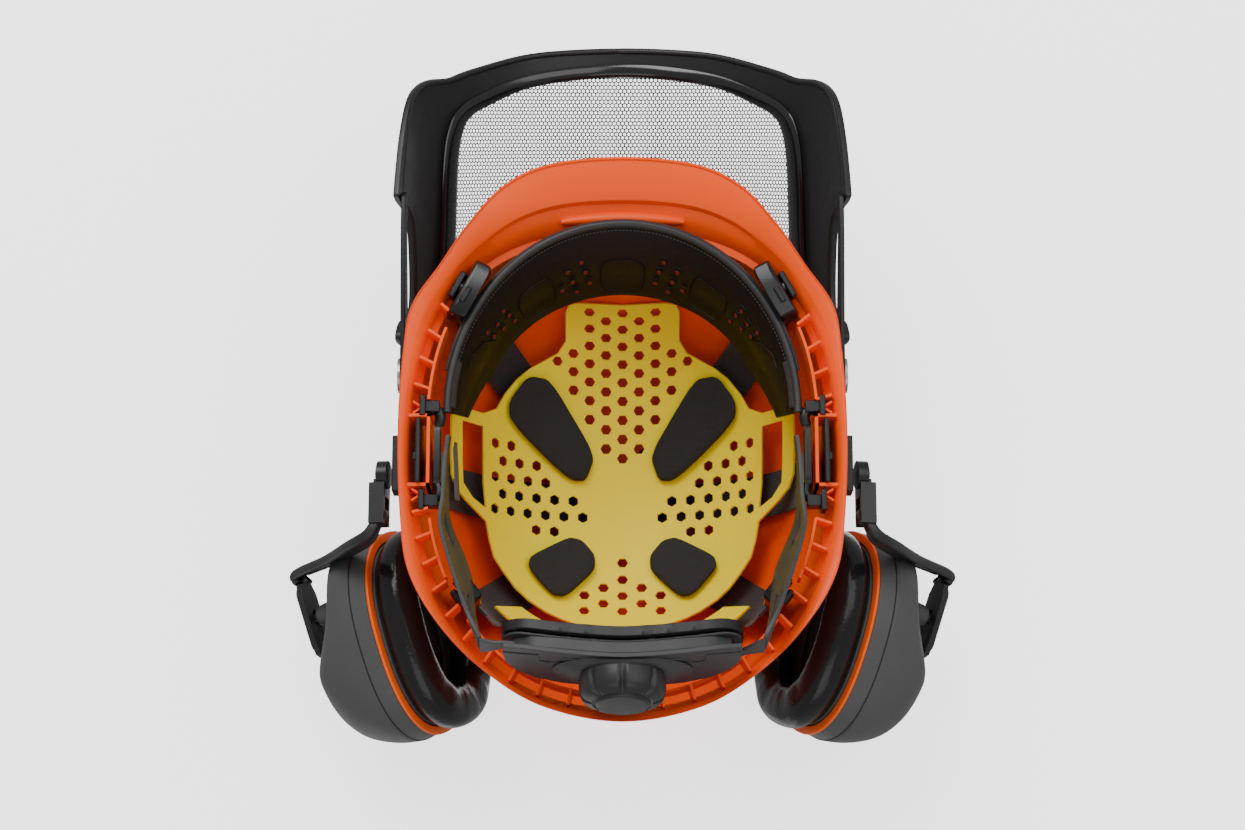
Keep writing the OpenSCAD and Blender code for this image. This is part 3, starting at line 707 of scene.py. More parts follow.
def build_straps(width):
    for kind, node in (("left", "diagonal_strap_left"), ("right", "diagonal_strap_right"),
                       ("lateral", "lateral_strap")):
        path, side = strap_points(kind)
        strap_sheet(f"{kind}_webbing", path + Z_AXIS * 0.6, side, width, [node])


# ---- Brow band ----
BAND_SPAN = math.radians(91)
# middle, half width, lower and upper edge of the pressed outlines
BAND_OUTLINES = ((0.0, 0.15, 0.46, 0.92), (-0.62, 0.14, 0.42, 0.84), (0.62, 0.14, 0.42, 0.84))
# angle and height of each eyelet on one half of the band
EYELETS = ((0.23, 0.72), (0.25, 0.56), (0.33, 0.79), (0.35, 0.64), (0.37, 0.49), (0.43, 0.7), (0.27, 0.42),
           (0.83, 0.66), (0.85, 0.52), (0.87, 0.4), (0.93, 0.6), (0.95, 0.46), (1.02, 0.53), (1.04, 0.39))


def band(a, h, d):
    """Point of the brow band: a from straight ahead, h from its lower to its upper edge, d outwards."""
    low = np.array([89 * math.sin(a), -12 - 98 * math.cos(a), -2 + 4 * math.sin(a) ** 2])
    high = np.array([71 * math.sin(a), -16 - 66 * math.cos(a), 44.0])
    out = unit([math.sin(a), -math.cos(a), 0.35])
    return lerp(low, high, h) + out * (d - 5 * h * (1 - h))


def band_top(a):
    """Upper edge of the sweatband, which comes down towards its ends."""
    t = abs(a) / BAND_SPAN
    return 1 - 0.42 * float(np.clip((t - 0.72) / 0.28, 0, 1)) ** 1.5


def build_sweatband():
    span = BAND_SPAN
    form = Form()
    angles = np.linspace(-span, span, 150)
    rings = []
    for a in angles:
        top = band_top(a)
        end = min(1.0, (span - abs(a)) / math.radians(2.5) + 0.25)
        lumps = 0.35 * noise.noise(Vector((a * 5, 0, 0)))
        ring = []
        for h in np.linspace(0, 1, 15):
            puff = 1.9 * math.sin(math.pi * min(h * 1.35 + 0.08, 1.0)) ** 0.5 * end
            ring.append(band(a, 0.02 + h * (top - 0.04), 2.0 - puff - lumps * puff * 0.3))
        for h in np.linspace(1, 0, 15):
            back = 1.9 * math.sin(math.pi * min(h + 0.04, 1)) ** 0.4 * end
            ring.append(band(a, 0.02 + h * (top - 0.04), 2.0 + back))
        rings.append(ring)
    form.loft(rings)
    obj = form.piece("sweatband_pad", "helmet", "sweatband_leather", ["sweatband"], 50)
    # piping, stitches, outlines and eyelets sit on the band's inner face
    form = Form()
    form.tube([band(a, 0.035, 1.2) for a in angles], 2.1, 10)
    form.piece("band_piping", "helmet", "sweatband_leather", (), 50, paint="piping")
    stitches = Form()
    for a in np.arange(-span * 0.97, span * 0.97, 0.022):
        ends = [band(a, 0.088, -0.25), band(a + 0.012, 0.088, -0.25)]
        stitches.tube([lerp(ends[0], ends[1], t) for t in (0, 0.5, 1)], [0.25, 0.4, 0.25], 6)
    stitches.piece("band_stitches", "helmet", "sweatband_leather", (), 60, paint="thread")
    lines = Form()
    for middle, half, low, high in BAND_OUTLINES:
        loop = [band(middle + half * math.copysign(abs(math.cos(t)) ** 0.5, math.cos(t)),
                     lerp(low, high, 0.5 + 0.5 * math.copysign(abs(math.sin(t)) ** 0.6, math.sin(t))), 0.05)
                for t in np.linspace(0, 2 * math.pi, 48, endpoint=False)]
        lines.tube(loop, 0.35, 6, loop=True)
    for s in (-1, 1):
        tail = [band(s * a, h, 0.1) for a, h in ((1.02, 0.62), (1.1, 0.42), (1.22, 0.3), (1.3, 0.3))]
        lines.tube(tail, 0.35, 6)
    lines.piece("band_lines", "helmet", "sweatband_leather", (), 60)
    rims, hole_shades = Form(), Form()
    for s in (-1, 1):
        for a, h in EYELETS:
            c = band(s * a, h, 0.15)
            e1 = unit(band(s * a + 0.01, h, 0.15) - c)
            e2 = unit(band(s * a, h + 0.01, 0.15) - c)
            n = np.cross(e1, e2)
            n = n if n @ unit([math.sin(s * a), -math.cos(a), 0.35]) < 0 else -n
            ring = [c + e1 * 1.7 * math.cos(t) + e2 * 1.7 * math.sin(t) + n * 0.1
                    for t in np.arange(6) * math.pi / 3]
            rims.tube(ring, 0.36, 6, loop=True)
            # painted shade: a dark red-orange disc closes each eyelet and stands for the shade in its hole
            hole_shades.add([p + n * 0.05 for p in ring], [tuple(range(6))])
            rims.tube([c - e1 * 1.5 - e2 * 3, c + e1 * 1.5 - e2 * 3], 0.3, 6)
    rims.piece("band_eyelets", "helmet", "sweatband_leather", (), 40)
    hole_shades.piece("band_hole_shade", "helmet", "sweatband_leather", (), 40, paint="eyelet_hole_shade")
    patches = Form()
    for s in (-1, 1):
        rows = [[band(s * a, h, -0.35 if 0 < h < 0.16 else 0.6) for h in (0.0, 0.02, 0.08, 0.14, 0.17)]
                for a in np.linspace(1.3, 1.56, 16)]
        patches.loft(rows, closed=False, caps=False)
    obj = patches.piece("band_patches", "helmet", "pad_foam", (), 60, paint="felt")
    solid(obj, 0.8)
    strip = Form()
    rows = [[band(a, h, 5.2) for h in np.linspace(0.06, 0.5, 6)]
            for a in np.linspace(-math.radians(78), math.radians(78), 90)]
    strip.loft(rows, closed=False, caps=False)
    obj = strip.piece("brow_strip", "helmet", "harness_plastic", ["headband"], 50)
    solid(obj, 1.6)
    bevel(obj, 0.5)


# ---- Liner ----
LINER_TOP = 120.0
LINER_R = 104.0
LINER_MID = 7.0
LINER_EASE = 0.64
LINER_LONG = LINER_R / math.sqrt(LINER_EASE)


def liner_z(x, y):
    return LINER_TOP - LINER_R + math.sqrt(max(0.0, LINER_R ** 2 - x * x - LINER_EASE * (y - LINER_MID) ** 2))


def on_liner(u, v, lift=0.0):
    """Place on the liner from flat sheet coordinates."""
    x = LINER_R * math.sin(u / LINER_R)
    y = LINER_MID + LINER_LONG * math.sin(v / LINER_LONG)
    return (x, y, liner_z(x, y) + lift)


FRONT_PAD = [(-65.3, -46), (-53.5, -61.5), (-40, -61), (-15, -21), (-20, -6.5), (-29, -6.3), (-65.5, -36)]
REAR_PAD = [(-53, 46), (-51.5, 39), (-29.5, 26), (-22, 27.5), (-15, 36), (-15, 45), (-30.5, 62.5),
            (-38, 62.8)]


def mirrored(points):
    return [(-x, y) for x, y in points]


PADS = (("front_left", FRONT_PAD), ("rear_left", REAR_PAD), ("front_right", mirrored(FRONT_PAD)[::-1]),
        ("rear_right", mirrored(REAR_PAD)[::-1]))
# inset factor and depth of a foam pad's sections
PAD_SECTIONS = ((0.3, 0.3), (0.95, 0.3), (0.99, 0.9), (1.0, 2.0), (1.0, 4.2), (0.985, 5.3), (0.95, 6.0),
                (0.88, 6.4), (0.7, 6.7), (0.45, 6.8), (0.2, 6.8))


def liner_outline():
    """Outer edge of the disc with its brow tab and the side arms."""
    half = [(0, -111), (24, -111), (29.5, -109), (31.5, -104), (31.5, -86), (36, -78)]
    for deg in (-60, -52, -44, -36, -29):
        a = math.radians(deg)
        half.append((85 * math.cos(a), 85 * math.sin(a)))
    half += [(84, -37), (98, -37), (107, -35), (110.5, -30), (111, -10), (110.5, 0), (106, 7), (97, 12.5),
             (88, 17.5), (81, 22), (78.5, 32), (75, 42)]
    for deg in (36, 44, 52, 60, 66, 71):
        a = math.radians(deg)
        half.append((85 * math.cos(a), 85 * math.sin(a)))
    return half


def liner_holes(size):
    """Hexagons in rows and columns, left out where a pad or the edge is near."""
    holes = []
    pads = [np.array(p) for p in (FRONT_PAD, REAR_PAD, mirrored(FRONT_PAD), mirrored(REAR_PAD))]

    def clear(u, v):
        if any(inside((u, v), p) for p in pads):
            return False
        return all(np.linalg.norm(p - np.array([u, v]), axis=1).min() > 4.6 for p in
                   [spline(q, 8, closed=True) for q in pads])

    columns = {0: (-105.6, 8), 1: (-100.2, 8), 2: (-105.6, 7), 3: (-78.9, 3), 4: (-73.5, 1)}
    for i, (start, count) in columns.items():
        for k in range(count + 1 if i == 0 else count):
            for s in ((1,) if i == 0 else (-1, 1)):
                u, v = s * i * 9.1, start + k * 10.7
                if clear(u, v):
                    holes.append(hexagon(u, v, size))
    for i, rows in {0: (40, 50.5, 61, 71.5), 1: (45.2, 55.8, 66.3), 2: (61, 71.5)}.items():
        for v in rows:
            for s in ((1,) if i == 0 else (-1, 1)):
                if clear(s * i * 10.4, v):
                    holes.append(hexagon(s * i * 10.4, v, size))
    for k in range(7):
        v = -22.5 + k * 9.05
        shift = 5.3 if k % 2 else 0.0
        for j in range(6):
            u = -75.5 + shift + j * 10.7
            if u > -22 or (k == 0 and j > 1) or (k >= 5 and j < 2) or (k == 6 and j < 3):
                continue
            if clear(u, v):
                holes.append(hexagon(u, v, size, math.pi / 6))
                holes.append(hexagon(-u, v, size, math.pi / 6))
    return holes


def arm_window():
    """Opening between a side arm and the disc."""
    return [(-101, -30), (-84.5, -30), (-83.8, 0), (-81.6, 14.5), (-92, 10), (-100, 3), (-101, -8)]


def build_liner(hole_size):
    form = Form()
    right = liner_outline()
    rear = [(math.cos(math.radians(d)) * 85, math.sin(math.radians(d)) * 85) for d in (76, 80)]
    outline = right + rear + [(14, 104), (-14, 104)] + [(-x, y) for x, y in (right + rear)[::-1]][:-1]
    windows = [arm_window(), mirrored(arm_window())[::-1]]
    grid = [(u, v) for u in np.arange(-108, 109, 6.0) for v in np.arange(-108, 102, 6.0)]
    holes = windows + liner_holes(hole_size)
    outer = np.array(outline, float)
    near = [np.array(h, float) for h in holes]
    mids = np.array([h.mean(axis=0) for h in near])
    grid = [g for g in grid if inside(g, outer) and (np.linalg.norm(mids[2:] - g, axis=1) > 4.2).all()
            and not any(inside(g, w) for w in near[:2])]
    flat, faces = fill(outline, holes, grid)
    form.add([on_liner(u, v, 0.7) for u, v in flat], faces)
    # the rear band stands outside the disc and joins it at the middle
    inner = [(92 * math.sin(t), 92 * math.cos(t)) for t in np.radians(np.linspace(-38, 38, 30))]
    outer_edge = [(105 * math.sin(t), 104 * math.cos(t)) for t in np.radians(np.linspace(44, -44, 30))]
    flat, faces = fill(inner + outer_edge, (), [(98 * math.sin(t), 98 * math.cos(t)) for t in
                                                np.radians(np.linspace(-36, 36, 25))])
    form.add([on_liner(u, v, 0.7) for u, v in flat], faces)
    obj = form.piece("liner_sheet", "helmet", "liner_plastic", ["liner"], 60)
    solid(obj, 1.4)
    bevel(obj, 0.25, 2, 50)
    for name, points in PADS:
        p = np.array(points, float)
        mid = p.mean(axis=0)
        # corners are eased by cutting them off three times over
        for _ in range(3):
            a, b = lerp(p, np.roll(p, -1, axis=0), 0.16), lerp(p, np.roll(p, -1, axis=0), 0.84)
            p = np.stack([a, b], 1).reshape(-1, 2)
        form = Form()
        rings = [[on_liner(*lerp(mid, q, k), -drop) for q in p] for k, drop in PAD_SECTIONS]
        form.loft(rings)
        obj = form.piece(name + "_foam", "helmet", "pad_foam", [name + "_pad"], 60)
    label = Form()
    rows = [[on_liner(u + 0.10 * v, v, -0.4) for u in (-108, -106.5, -105, -103.6)]
            for v in np.linspace(-17, 14, 14)]
    label.loft(rows, closed=False, caps=False)
    obj = label.piece("label_patch", "helmet", "label", ["label_strip"], 60)
    solid(obj, 0.5)


# ---- Side straps and nape unit ----
STRAP_LOW = [(-88.3, 2, -2), (-89.6, 14, -2), (-90.6, 35, -4), (-91.5, 50, -9), (-85, 73, -21),
             (-76.5, 97, -34), (-68.8, 112, -39)]
STRAP_HIGH = [(-86, 2, 8), (-87.6, 14, 11), (-88, 35, 14), (-85.5, 50, 14), (-76.5, 74, 2), (-73, 98, -15),
              (-68.8, 116, -22)]
STRAP_WIDTH = 20.0
# place along the rack, height and share of its level in the housing
RACK_SECTIONS = ((15, 4, 1), (30, 4, 1), (45, 4, 1), (56, 5, 0.8), (62, 9, 0.3), (66, 13, 0.1), (69.5, 16, 0))


def nape_bend(x):
    """How far the nape unit bows forwards at a distance from its middle."""
    return 6.0 * (abs(x) / 58) ** 1.5


def build_side_straps():
    low, high = spline(STRAP_LOW, 12), spline(STRAP_HIGH, 12)
    lengths = np.r_[0, np.cumsum(np.linalg.norm(np.diff(low, axis=0), axis=1))]
    total = lengths[-1]

    def on_strap(s, h):
        i = float(np.interp(s, lengths, np.arange(len(low))))
        k = int(min(i, len(low) - 2))
        a, b = lerp(low[k], low[k + 1], i - k), lerp(high[k], high[k + 1], i - k)
        bow = 1.2 * math.sin(math.pi * h)
        return lerp(a, b, h) + np.array([-bow, 0, 0])

    for s, side in SIDES:
        form = Form()
        outline = [(0, 5.5), (8, 3.5), (24, 1), (50, 0), (total * 0.75, 0.5), (total, 1), (total, 19),
                   (total * 0.75, 20), (60, 20), (40, 17.5), (24, 15.5), (8, 14), (0, 12.5)]
        outline = [tuple(q) for q in spline(outline, 5, closed=True)]
        outline = [(min(max(a, 0), total), min(max(b, 0), STRAP_WIDTH)) for a, b in outline]
        slots = [[(38, 9.2), (47, 8.2), (56, 9.4), (62, 12), (56, 14.6), (46, 13.2)],
                 [(x + total - 22, y + 6.5) for x, y in rounded(15, 3.4, 1.6)],
                 [(x + total - 22, y + 14) for x, y in rounded(15, 3.0, 1.4)]]
        near = [np.array(slot) for slot in slots]
        grid = [(x, y) for x in np.arange(2, total, 4.0) for y in np.arange(2, 19, 3.5)]
        grid = [g for g in grid if inside(g, np.array(outline))
                and not any(np.linalg.norm(h - g, axis=1).min() < 2 or inside(g, h) for h in near)]
        flat, faces = fill(outline, slots, grid)
        form.add([on_strap(x, y / STRAP_WIDTH) for x, y in flat], faces)
        obj = form.piece(f"{side}_strap_band", f"{side}_strap", "harness_plastic", [f"{side}_side_strap"],
                         45, mirror=s > 0)
        solid(obj, 1.8)
        bevel(obj, 0.4)
        # toothed tail that runs into the housing
        rack = Form()
        level = 8.2 * s
        rings = []
        for x, tall, rise in RACK_SECTIONS:
            c = place(NAPE, x, level * rise, -5.7 - nape_bend(x))
            up = NAPE[2] * tall / 2
            thick = NAPE[3] * 0.9
            rings.append([c - up - thick, c + up - thick, c + up + thick, c - up + thick])
        rack.loft(rings)
        for x in np.arange(18, 56, 2.6):
            tooth = place(NAPE, x, level - 2.4 * s, -5.7 - nape_bend(x))
            rack.box(tooth, (1.2, 1.0, 1.6), NAPE[1:])
        obj = rack.piece(f"{side}_rack", f"{side}_strap", "harness_plastic", (), 40, mirror=s > 0)
        bevel(obj, 0.3)


def curved_plate(form, outline, low, high, holes=(), step=4.0):
    """Plate in the nape frame that bows forwards at its ends."""
    p = np.array(outline, float)
    grid = [(x, y) for x in np.arange(p[:, 0].min(), p[:, 0].max(), step)
            for y in np.arange(p[:, 1].min(), p[:, 1].max(), step)]
    near = [np.array(h) for h in holes]
    grid = [g for g in grid if inside(g, p) and np.linalg.norm(p - g, axis=1).min() > 1.2
            and not any(inside(g, h) or np.linalg.norm(h - g, axis=1).min() < 1 for h in near)]
    flat, faces = fill(outline, holes, grid)

    def at(x, y, z):
        return place(NAPE, x, y, z - nape_bend(x))

    for height, turn in ((low, -1), (high, 1)):
        form.add([at(x, y, height) for x, y in flat], [f[::turn] for f in faces])
    for ring in [outline, *holes]:
        form.loft([[at(x, y, h) for x, y in ring] for h in (low, high)], caps=False)


def dense(points, gap=3.0):
    """Closed outline with added points so that no edge is longer than gap."""
    out = []
    for a, b in zip(points, [*points[1:], points[0]]):
        n = max(1, int(math.dist(a, b) / gap))
        out += [(lerp(a[0], b[0], i / n), lerp(a[1], b[1], i / n)) for i in range(n)]
    return out


def build_nape():
    form = Form()
    lower = [(58, -9), (57, 3), (52, 12), (44, 18), (30, 21.5), (-30, 21.5), (-44, 18), (-52, 12), (-57, 3),
             (-58, -9)]
    seam = [(-40, -11), (-40, -4), (-29, -4), (-29, -10.5), (-14, -12), (14, -12), (29, -10.5), (29, -4),
            (40, -4), (40, -11)]
    curved_plate(form, dense([*lower, *seam]), -2.6, 0)
    curved_plate(form, dense(rounded(116, 32, 12)), -9.6, -8.4)
    wall = [(-53, -9), (-44, -15), (-30, -16.5), (30, -16.5), (44, -15), (53, -9), (51, -7.6), (43, -12.7),
            (30, -14.2), (-30, -14.2), (-43, -12.7), (-51, -7.6)]
    for turn in (1, -1):
        curved_plate(form, dense([(x * turn, y * turn) for x, y in wall]), -8.4, -2.6)
    obj = form.piece("nape_case", "helmet", "harness_plastic", ["nape_housing"], 40)
    bevel(obj, 0.6, 2, 40)
    form = Form()
    upper = [(-58, -10), (-40.6, -12), (-40.6, -4.6), (-28.4, -4.6), (-28.4, -11.2), (-14, -12.7),
             (14, -12.7), (28.4, -11.2), (28.4, -4.6), (40.6, -4.6), (40.6, -12), (58, -10), (57.5, -15),
             (48, -17), (0, -17), (-48, -17), (-57.5, -15)]
    curved_plate(form, dense(upper), -2.6, -0.3)
    obj = form.piece("nape_rail", "helmet", "harness_plastic", (), 40)
    bevel(obj, 0.6, 2, 40)
    # raised dome that carries the knob
    form = Form()
    boss = ((34, 18, -1.4), (30, 17.8, 0.0), (27, 17.6, 1.0), (25, 17, 2.0), (24, 16.2, 2.6), (12, 8, 2.6))
    rings = [[place(NAPE, x, y + 3, z) for x, y in oval(a, b, 64, 2.2)] for a, b, z in boss]
    form.loft(rings)
    form.piece("nape_boss", "helmet", "harness_plastic", ["nape_cover"], 35)
    form = Form()
    holes = [[(s * 28 + x, 9 + y) for x, y in rounded(34, 6.5, 2)] for s in (-1, 1)]
    curved_plate(form, dense(rounded(118, 38, 16)), -15.6, -10.6, holes)
    obj = form.piece("nape_cushion", "helmet", "pad_foam", ["nape_pad"], 40, paint="nape_foam")
    bevel(obj, 1.2, 3, 40)


# height, radius and depth of the grooves of the knob's sections
KNOB_SECTIONS = ((3.2, 17.5, 0), (3.4, 20.3, 0.1), (4.4, 21.2, 0.3), (8, 21.4, 0.6), (12.5, 20.6, 1.0),
                 (14.6, 19.6, 1.0), (15.8, 17.9, 0.9), (16.6, 15.4, 0.35), (16.9, 14.6, 0.1), (16.2, 14.2, 0),
                 (16.3, 13.4, 0), (17.6, 12.9, 0), (18.2, 12.0, 0), (18.35, 8, 0), (18.4, 3, 0))
KNOB_GROOVES = 8


def build_knob():
    form = Form()
    angles = [2 * math.pi * i / 192 for i in range(192)]
    rings = []
    for z, r, wave in KNOB_SECTIONS:
        ring = []
        for t in angles:
            groove = max(0.0, math.cos(KNOB_GROOVES * t)) ** 6 * 1.9
            k = r - wave * groove
            ring.append(place(NAPE, k * math.cos(t), k * math.sin(t), z - wave * groove * 0.5))
        rings.append(ring)
    form.loft(rings)
    obj = form.piece("ratchet_knob", "knob_spindle", "knob_plastic", ["knob"], 30)
    bevel(obj, 0.3, 2, 30)


# ---- Visor ----
def curved(x, f, r):
    """Point of the visor's half cylinder over plan position x, f."""
    x = float(np.clip(x, -r * 0.999, r * 0.999))
    return place(VISOR, -x, f, math.sqrt(r * r - x * x))


def both(points):
    return points + [(-x, y) for x, y in points[::-1] if abs(x) > 0.01]


FRAME_HALF = [(0, REACH), (30, REACH - 1), (55, REACH - 4), (82, REACH - 12), (94, REACH - 17),
              (104, REACH - 18.5), (110, REACH - 23), (113.5, 140), (116, 122), (117.6, 98), (117.2, 90),
              (113, 77), (112.5, 34), (116.8, 26), (116.8, 15), (108, 10), (98, 5), (80, 6), (52, 9),
              (26, 11), (0, 12)]
WINDOW_HALF = [(0, REACH - 15), (30, REACH - 17), (55, REACH - 22), (76, REACH - 32), (83, REACH - 37),
               (87, REACH - 44), (90, 110), (92, 60), (95, 22), (80, 19), (52, 22), (26, 24), (0, 25)]


def smooth_loop(half, steps):
    return [tuple(p) for p in spline(both(half), steps, closed=True)]


def shrink(points, amount):
    """Outline moved inwards, or outwards for a negative amount."""
    p = np.array(points, float)
    d = np.roll(p, -1, axis=0) - np.roll(p, 1, axis=0)
    n = np.stack([d[:, 1], -d[:, 0]], 1) / np.linalg.norm(d, axis=1)[:, None]
    area = 0.5 * np.sum(p[:, 0] * np.roll(p[:, 1], -1) - np.roll(p[:, 0], -1) * p[:, 1])
    return p - n * amount * np.sign(area)


def build_visor(pitch):
    outer = np.array(smooth_loop(FRAME_HALF, 6))
    window = np.array(smooth_loop(WINDOW_HALF, 8))
    grid = [(x, f) for x in np.arange(-114, 115, 5.0) for f in np.arange(8, 170, 5.0)]
    grid = [g for g in grid if inside(g, outer) and not inside(g, window)
            and np.linalg.norm(outer - g, axis=1).min() > 2 and np.linalg.norm(window - g, axis=1).min() > 2]
    flat, faces = fill(outer, [window], grid)
    form = Form()
    form.add([curved(x, f, VISOR_R) for x, f in flat], faces)
    obj = form.piece("visor_rim", "visor", "visor_plastic", ["visor_frame"], 50)
    solid(obj, 3.0)
    bevel(obj, 1.1, 3, 50)
    form = Form()
    edge = shrink(outer, 1.6)
    form.tube([curved(x, f, VISOR_R - 0.6) for x, f in edge], 1.9, 8, loop=True)
    form.piece("visor_bead", "visor", "visor_plastic", (), 50)
    form = Form()
    lip = ((-6.5, -2.2), (-6.2, -3.6), (-5.0, -4.4), (-1.5, -4.6), (0.6, -3.9), (1.2, -2.6))
    rings = [[curved(x, f, VISOR_R + level) for x, f in shrink(window, grow)] for grow, level in lip]
    form.loft(rings, loop=True)
    form.piece("visor_seal", "visor", "visor_plastic", ["visor_retainer"], 40, paint="seal")
    form = Form()
    for s in (-1, 1):
        at = (np.array([s * 112.5, -36.0, 28.0]), VISOR[2], VISOR[3], np.array([s * 1.0, 0, 0]))
        arm = [(12 * math.cos(t), 12 * math.sin(t)) for t in np.linspace(math.pi * 0.5, math.pi * 1.5, 16)]
        arm += [(20, -6), (45, -2), (78, 3), (93, 8), (95, 19), (84, 21), (76, 15), (45, 16.4), (24, 16.4),
                (8, 14)]
        form.slab(arm, at, 0, 2.6, [circle(5.2, 24)])
    obj = form.piece("visor_side_arms", "visor", "visor_plastic", ["visor_arms"], 40)
    bevel(obj, 0.6)
    build_mesh(window, pitch)


def build_mesh(window, pitch):
    """Etched steel sheet: a honeycomb of real holes inside the window."""
    radius = VISOR_R - 2
    reach = np.array(shrink(window, -3.5))
    cell, hole = pitch / math.sqrt(3), 0.4 * pitch
    row_gap = pitch * 0.866
    turn = np.radians(30 + 60 * np.arange(6))
    points, faces = [], []
    for j in range(int(170 / row_gap)):
        f = 15 + j * row_gap
        for i in range(-60, 61):
            # columns are counted along the curve, so that holes stay even where the sheet turns up
            s = (i + 0.5 * (j % 2)) * pitch
            angle = s / radius
            if abs(angle) > 1.1 or not inside((radius * math.sin(angle), f), reach):
                continue
            n = len(points)
            for r in (cell, hole):
                for t in turn:
                    a = (s + r * math.cos(t)) / radius
                    points.append(place(VISOR, -radius * math.sin(a), f + r * math.sin(t),
                                        radius * math.cos(a)))
            faces += [(n + k, n + (k + 1) % 6, n + 6 + (k + 1) % 6, n + 6 + k) for k in range(6)]
    form = Form()
    form.add(points, faces)
    form.piece("visor_steel_mesh", "visor", "mesh_steel", ["visor_mesh"], 60)


# ---- Ear muffs ----
CUP_PROFILE = [(0.05, 1.0), (0.3, 0.995), (0.5, 0.96), (0.66, 0.9), (0.78, 0.81), (0.88, 0.68), (0.945, 0.52),
               (0.985, 0.36), (1.0, 0.22), (0.998, 0.2), (0.985, 0.06), (0.975, 0.0)]
RECESS = 11.0
FLIP_AT = SWING[0] + SWING_SIDE * 21.5 + SWING_AXIS * 5


def cup_recess(x, y):
    """Depth of the hollow in the cup's face under the slider."""
    d = math.hypot((x + 12) / 36, (y - STUD + 3) / 29)
    t = float(np.clip(1.35 - d, 0, 1))
    return RECESS * 1.15 * t * t * (3 - 2 * t)


def build_cup(s, side):
    form = Form()
    rings = []
    for k, h in spline(CUP_PROFILE, 4):
        z = 2.6 + h * (CUP_DEEP - 2.6)
        deep = float(np.clip((z - 16) / 26, 0, 1))
        rings.append([place(CUP, x, y, z - cup_recess(x, y) * deep)
                      for x, y in oval(CUP_WIDE * k, CUP_LONG * k, 128)])
    form.loft(rings)
    face = CUP_DEEP - RECESS
    sections = ((9, face - 2), (7, face + 1), (6, CUP_DEEP - 3), (5.4, CUP_DEEP - 0.6))
    post = [[place(CUP, x, STUD + y, z) for x, y in circle(r, 24)] for r, z in sections]
    form.loft(post)
    form.piece(f"{side}_cup_shell", f"{side}_muff", "cup_plastic", [f"{side}_cup"], 30, mirror=s > 0)
    form = Form()
    rings = [[place(CUP, x, y, z) for x, y in oval(CUP_WIDE * k, CUP_LONG * k, 96)]
             for k, z in ((0.99, 12.2), (1.004, 12.0), (1.004, 11.5), (0.99, 11.3))]
    form.loft(rings, loop=True)
    form.piece(f"{side}_cup_line", f"{side}_muff", "cup_plastic", (), 40, mirror=s > 0,
               paint="knob_plastic")
    form = Form()
    edge = ((0, 0.3), (0.9, 0.5), (1.3, 1.2), (0.9, 2.0), (0, 2.3), (-3, 2.3), (-3, 0.3))
    rings = [[place(CUP, x, y, z) for x, y in oval(CUP_WIDE - 1.5 + g, CUP_LONG - 2 + g, 96)]
             for g, z in edge]
    form.loft(rings, loop=True)
    form.piece(f"{side}_trim", f"{side}_muff", "trim_plastic", [f"{side}_trim_ring"], 40, mirror=s > 0)


def cushion_form():
    """Soft ring cushion with a fuller outer roll, a seam and pressed folds."""
    form = Form()
    n, m = 144, 36
    rings = []
    for j in range(m):
        t = 2 * math.pi * j / m
        c, d = math.cos(t), math.sin(t)
        fat = 1.08 if c > 0 else 0.94
        a = 31.5 + 10.8 * math.copysign(abs(c) ** 0.85, c) * fat
        b = 42 + 11.3 * math.copysign(abs(c) ** 0.85, c) * fat
        z = -1.0 - 9.2 + 9.4 * math.copysign(abs(d) ** 0.8, d)
        ring = []
        for i, (x, y) in enumerate(oval(a, b, n)):
            theta = 2 * math.pi * i / n
            fold = noise.noise(Vector((math.cos(theta) * 3.1, math.sin(theta) * 3.1, z * 0.07)))
            fine = noise.noise(Vector((math.cos(theta) * 9, math.sin(theta) * 9, z * 0.2 + 5)))
            press = 0.9 * fold * max(0.0, -math.sin(t)) + 0.12 * fine * abs(d) ** 0.5
            ring.append((x, y, z + press))
        rings.append(ring)
    form.loft(rings, loop=True)
    return form


# the furthest that the cloth step may move a point of the cushion
CLOTH_LIMIT = 1.6


def build_cushions():
    """Uses one cushion on both sides, after a cloth step whose moves are cut to CLOTH_LIMIT."""
    form = cushion_form()
    points = np.array(form.points)
    mesh = bpy.data.meshes.new("cushion_rest")
    mesh.from_pydata((points * MM).tolist(), [], form.faces)
    start = bpy.data.objects.new("cushion_rest", mesh)
    bpy.context.scene.collection.objects.link(start)
    rest = points
    cloth = start.modifiers.new("Cloth", "CLOTH")
    cloth.settings.use_pressure = True
    cloth.settings.uniform_pressure_force = 2.5
    cloth.settings.effector_weights.gravity = 0
    cloth.settings.tension_stiffness = 8
    cloth.settings.bending_stiffness = 0.8
    group = start.vertex_groups.new(name="seam")
    held = [i for i, p in enumerate(points) if p[2] > -2.5]
    group.add(held, 1.0, "REPLACE")
    cloth.settings.vertex_group_mass = "seam"
    for step in range(1, 16):
        bpy.context.scene.frame_set(step)
    shaped = start.evaluated_get(bpy.context.evaluated_depsgraph_get())
    moved = np.array([v.co for v in shaped.data.vertices]) / MM
    shift = moved - points
    far = np.linalg.norm(shift, axis=1)
    rest = points + shift * (np.minimum(far, CLOTH_LIMIT) / np.maximum(far, 1e-9))[:, None]
    bpy.context.scene.frame_set(1)
    bpy.data.objects.remove(start)
    for s, side in SIDES:
        made = Form()
        made.add([place(CUP, *p) for p in rest], form.faces)
        obj = made.piece(f"{side}_soft_cushion", f"{side}_muff", "cushion_vinyl", [f"{side}_cushion"], 70,
                         mirror=s > 0)
        sub = obj.modifiers.new("Subdivision", "SUBSURF")
        sub.levels = 1
        sub.render_levels = 1


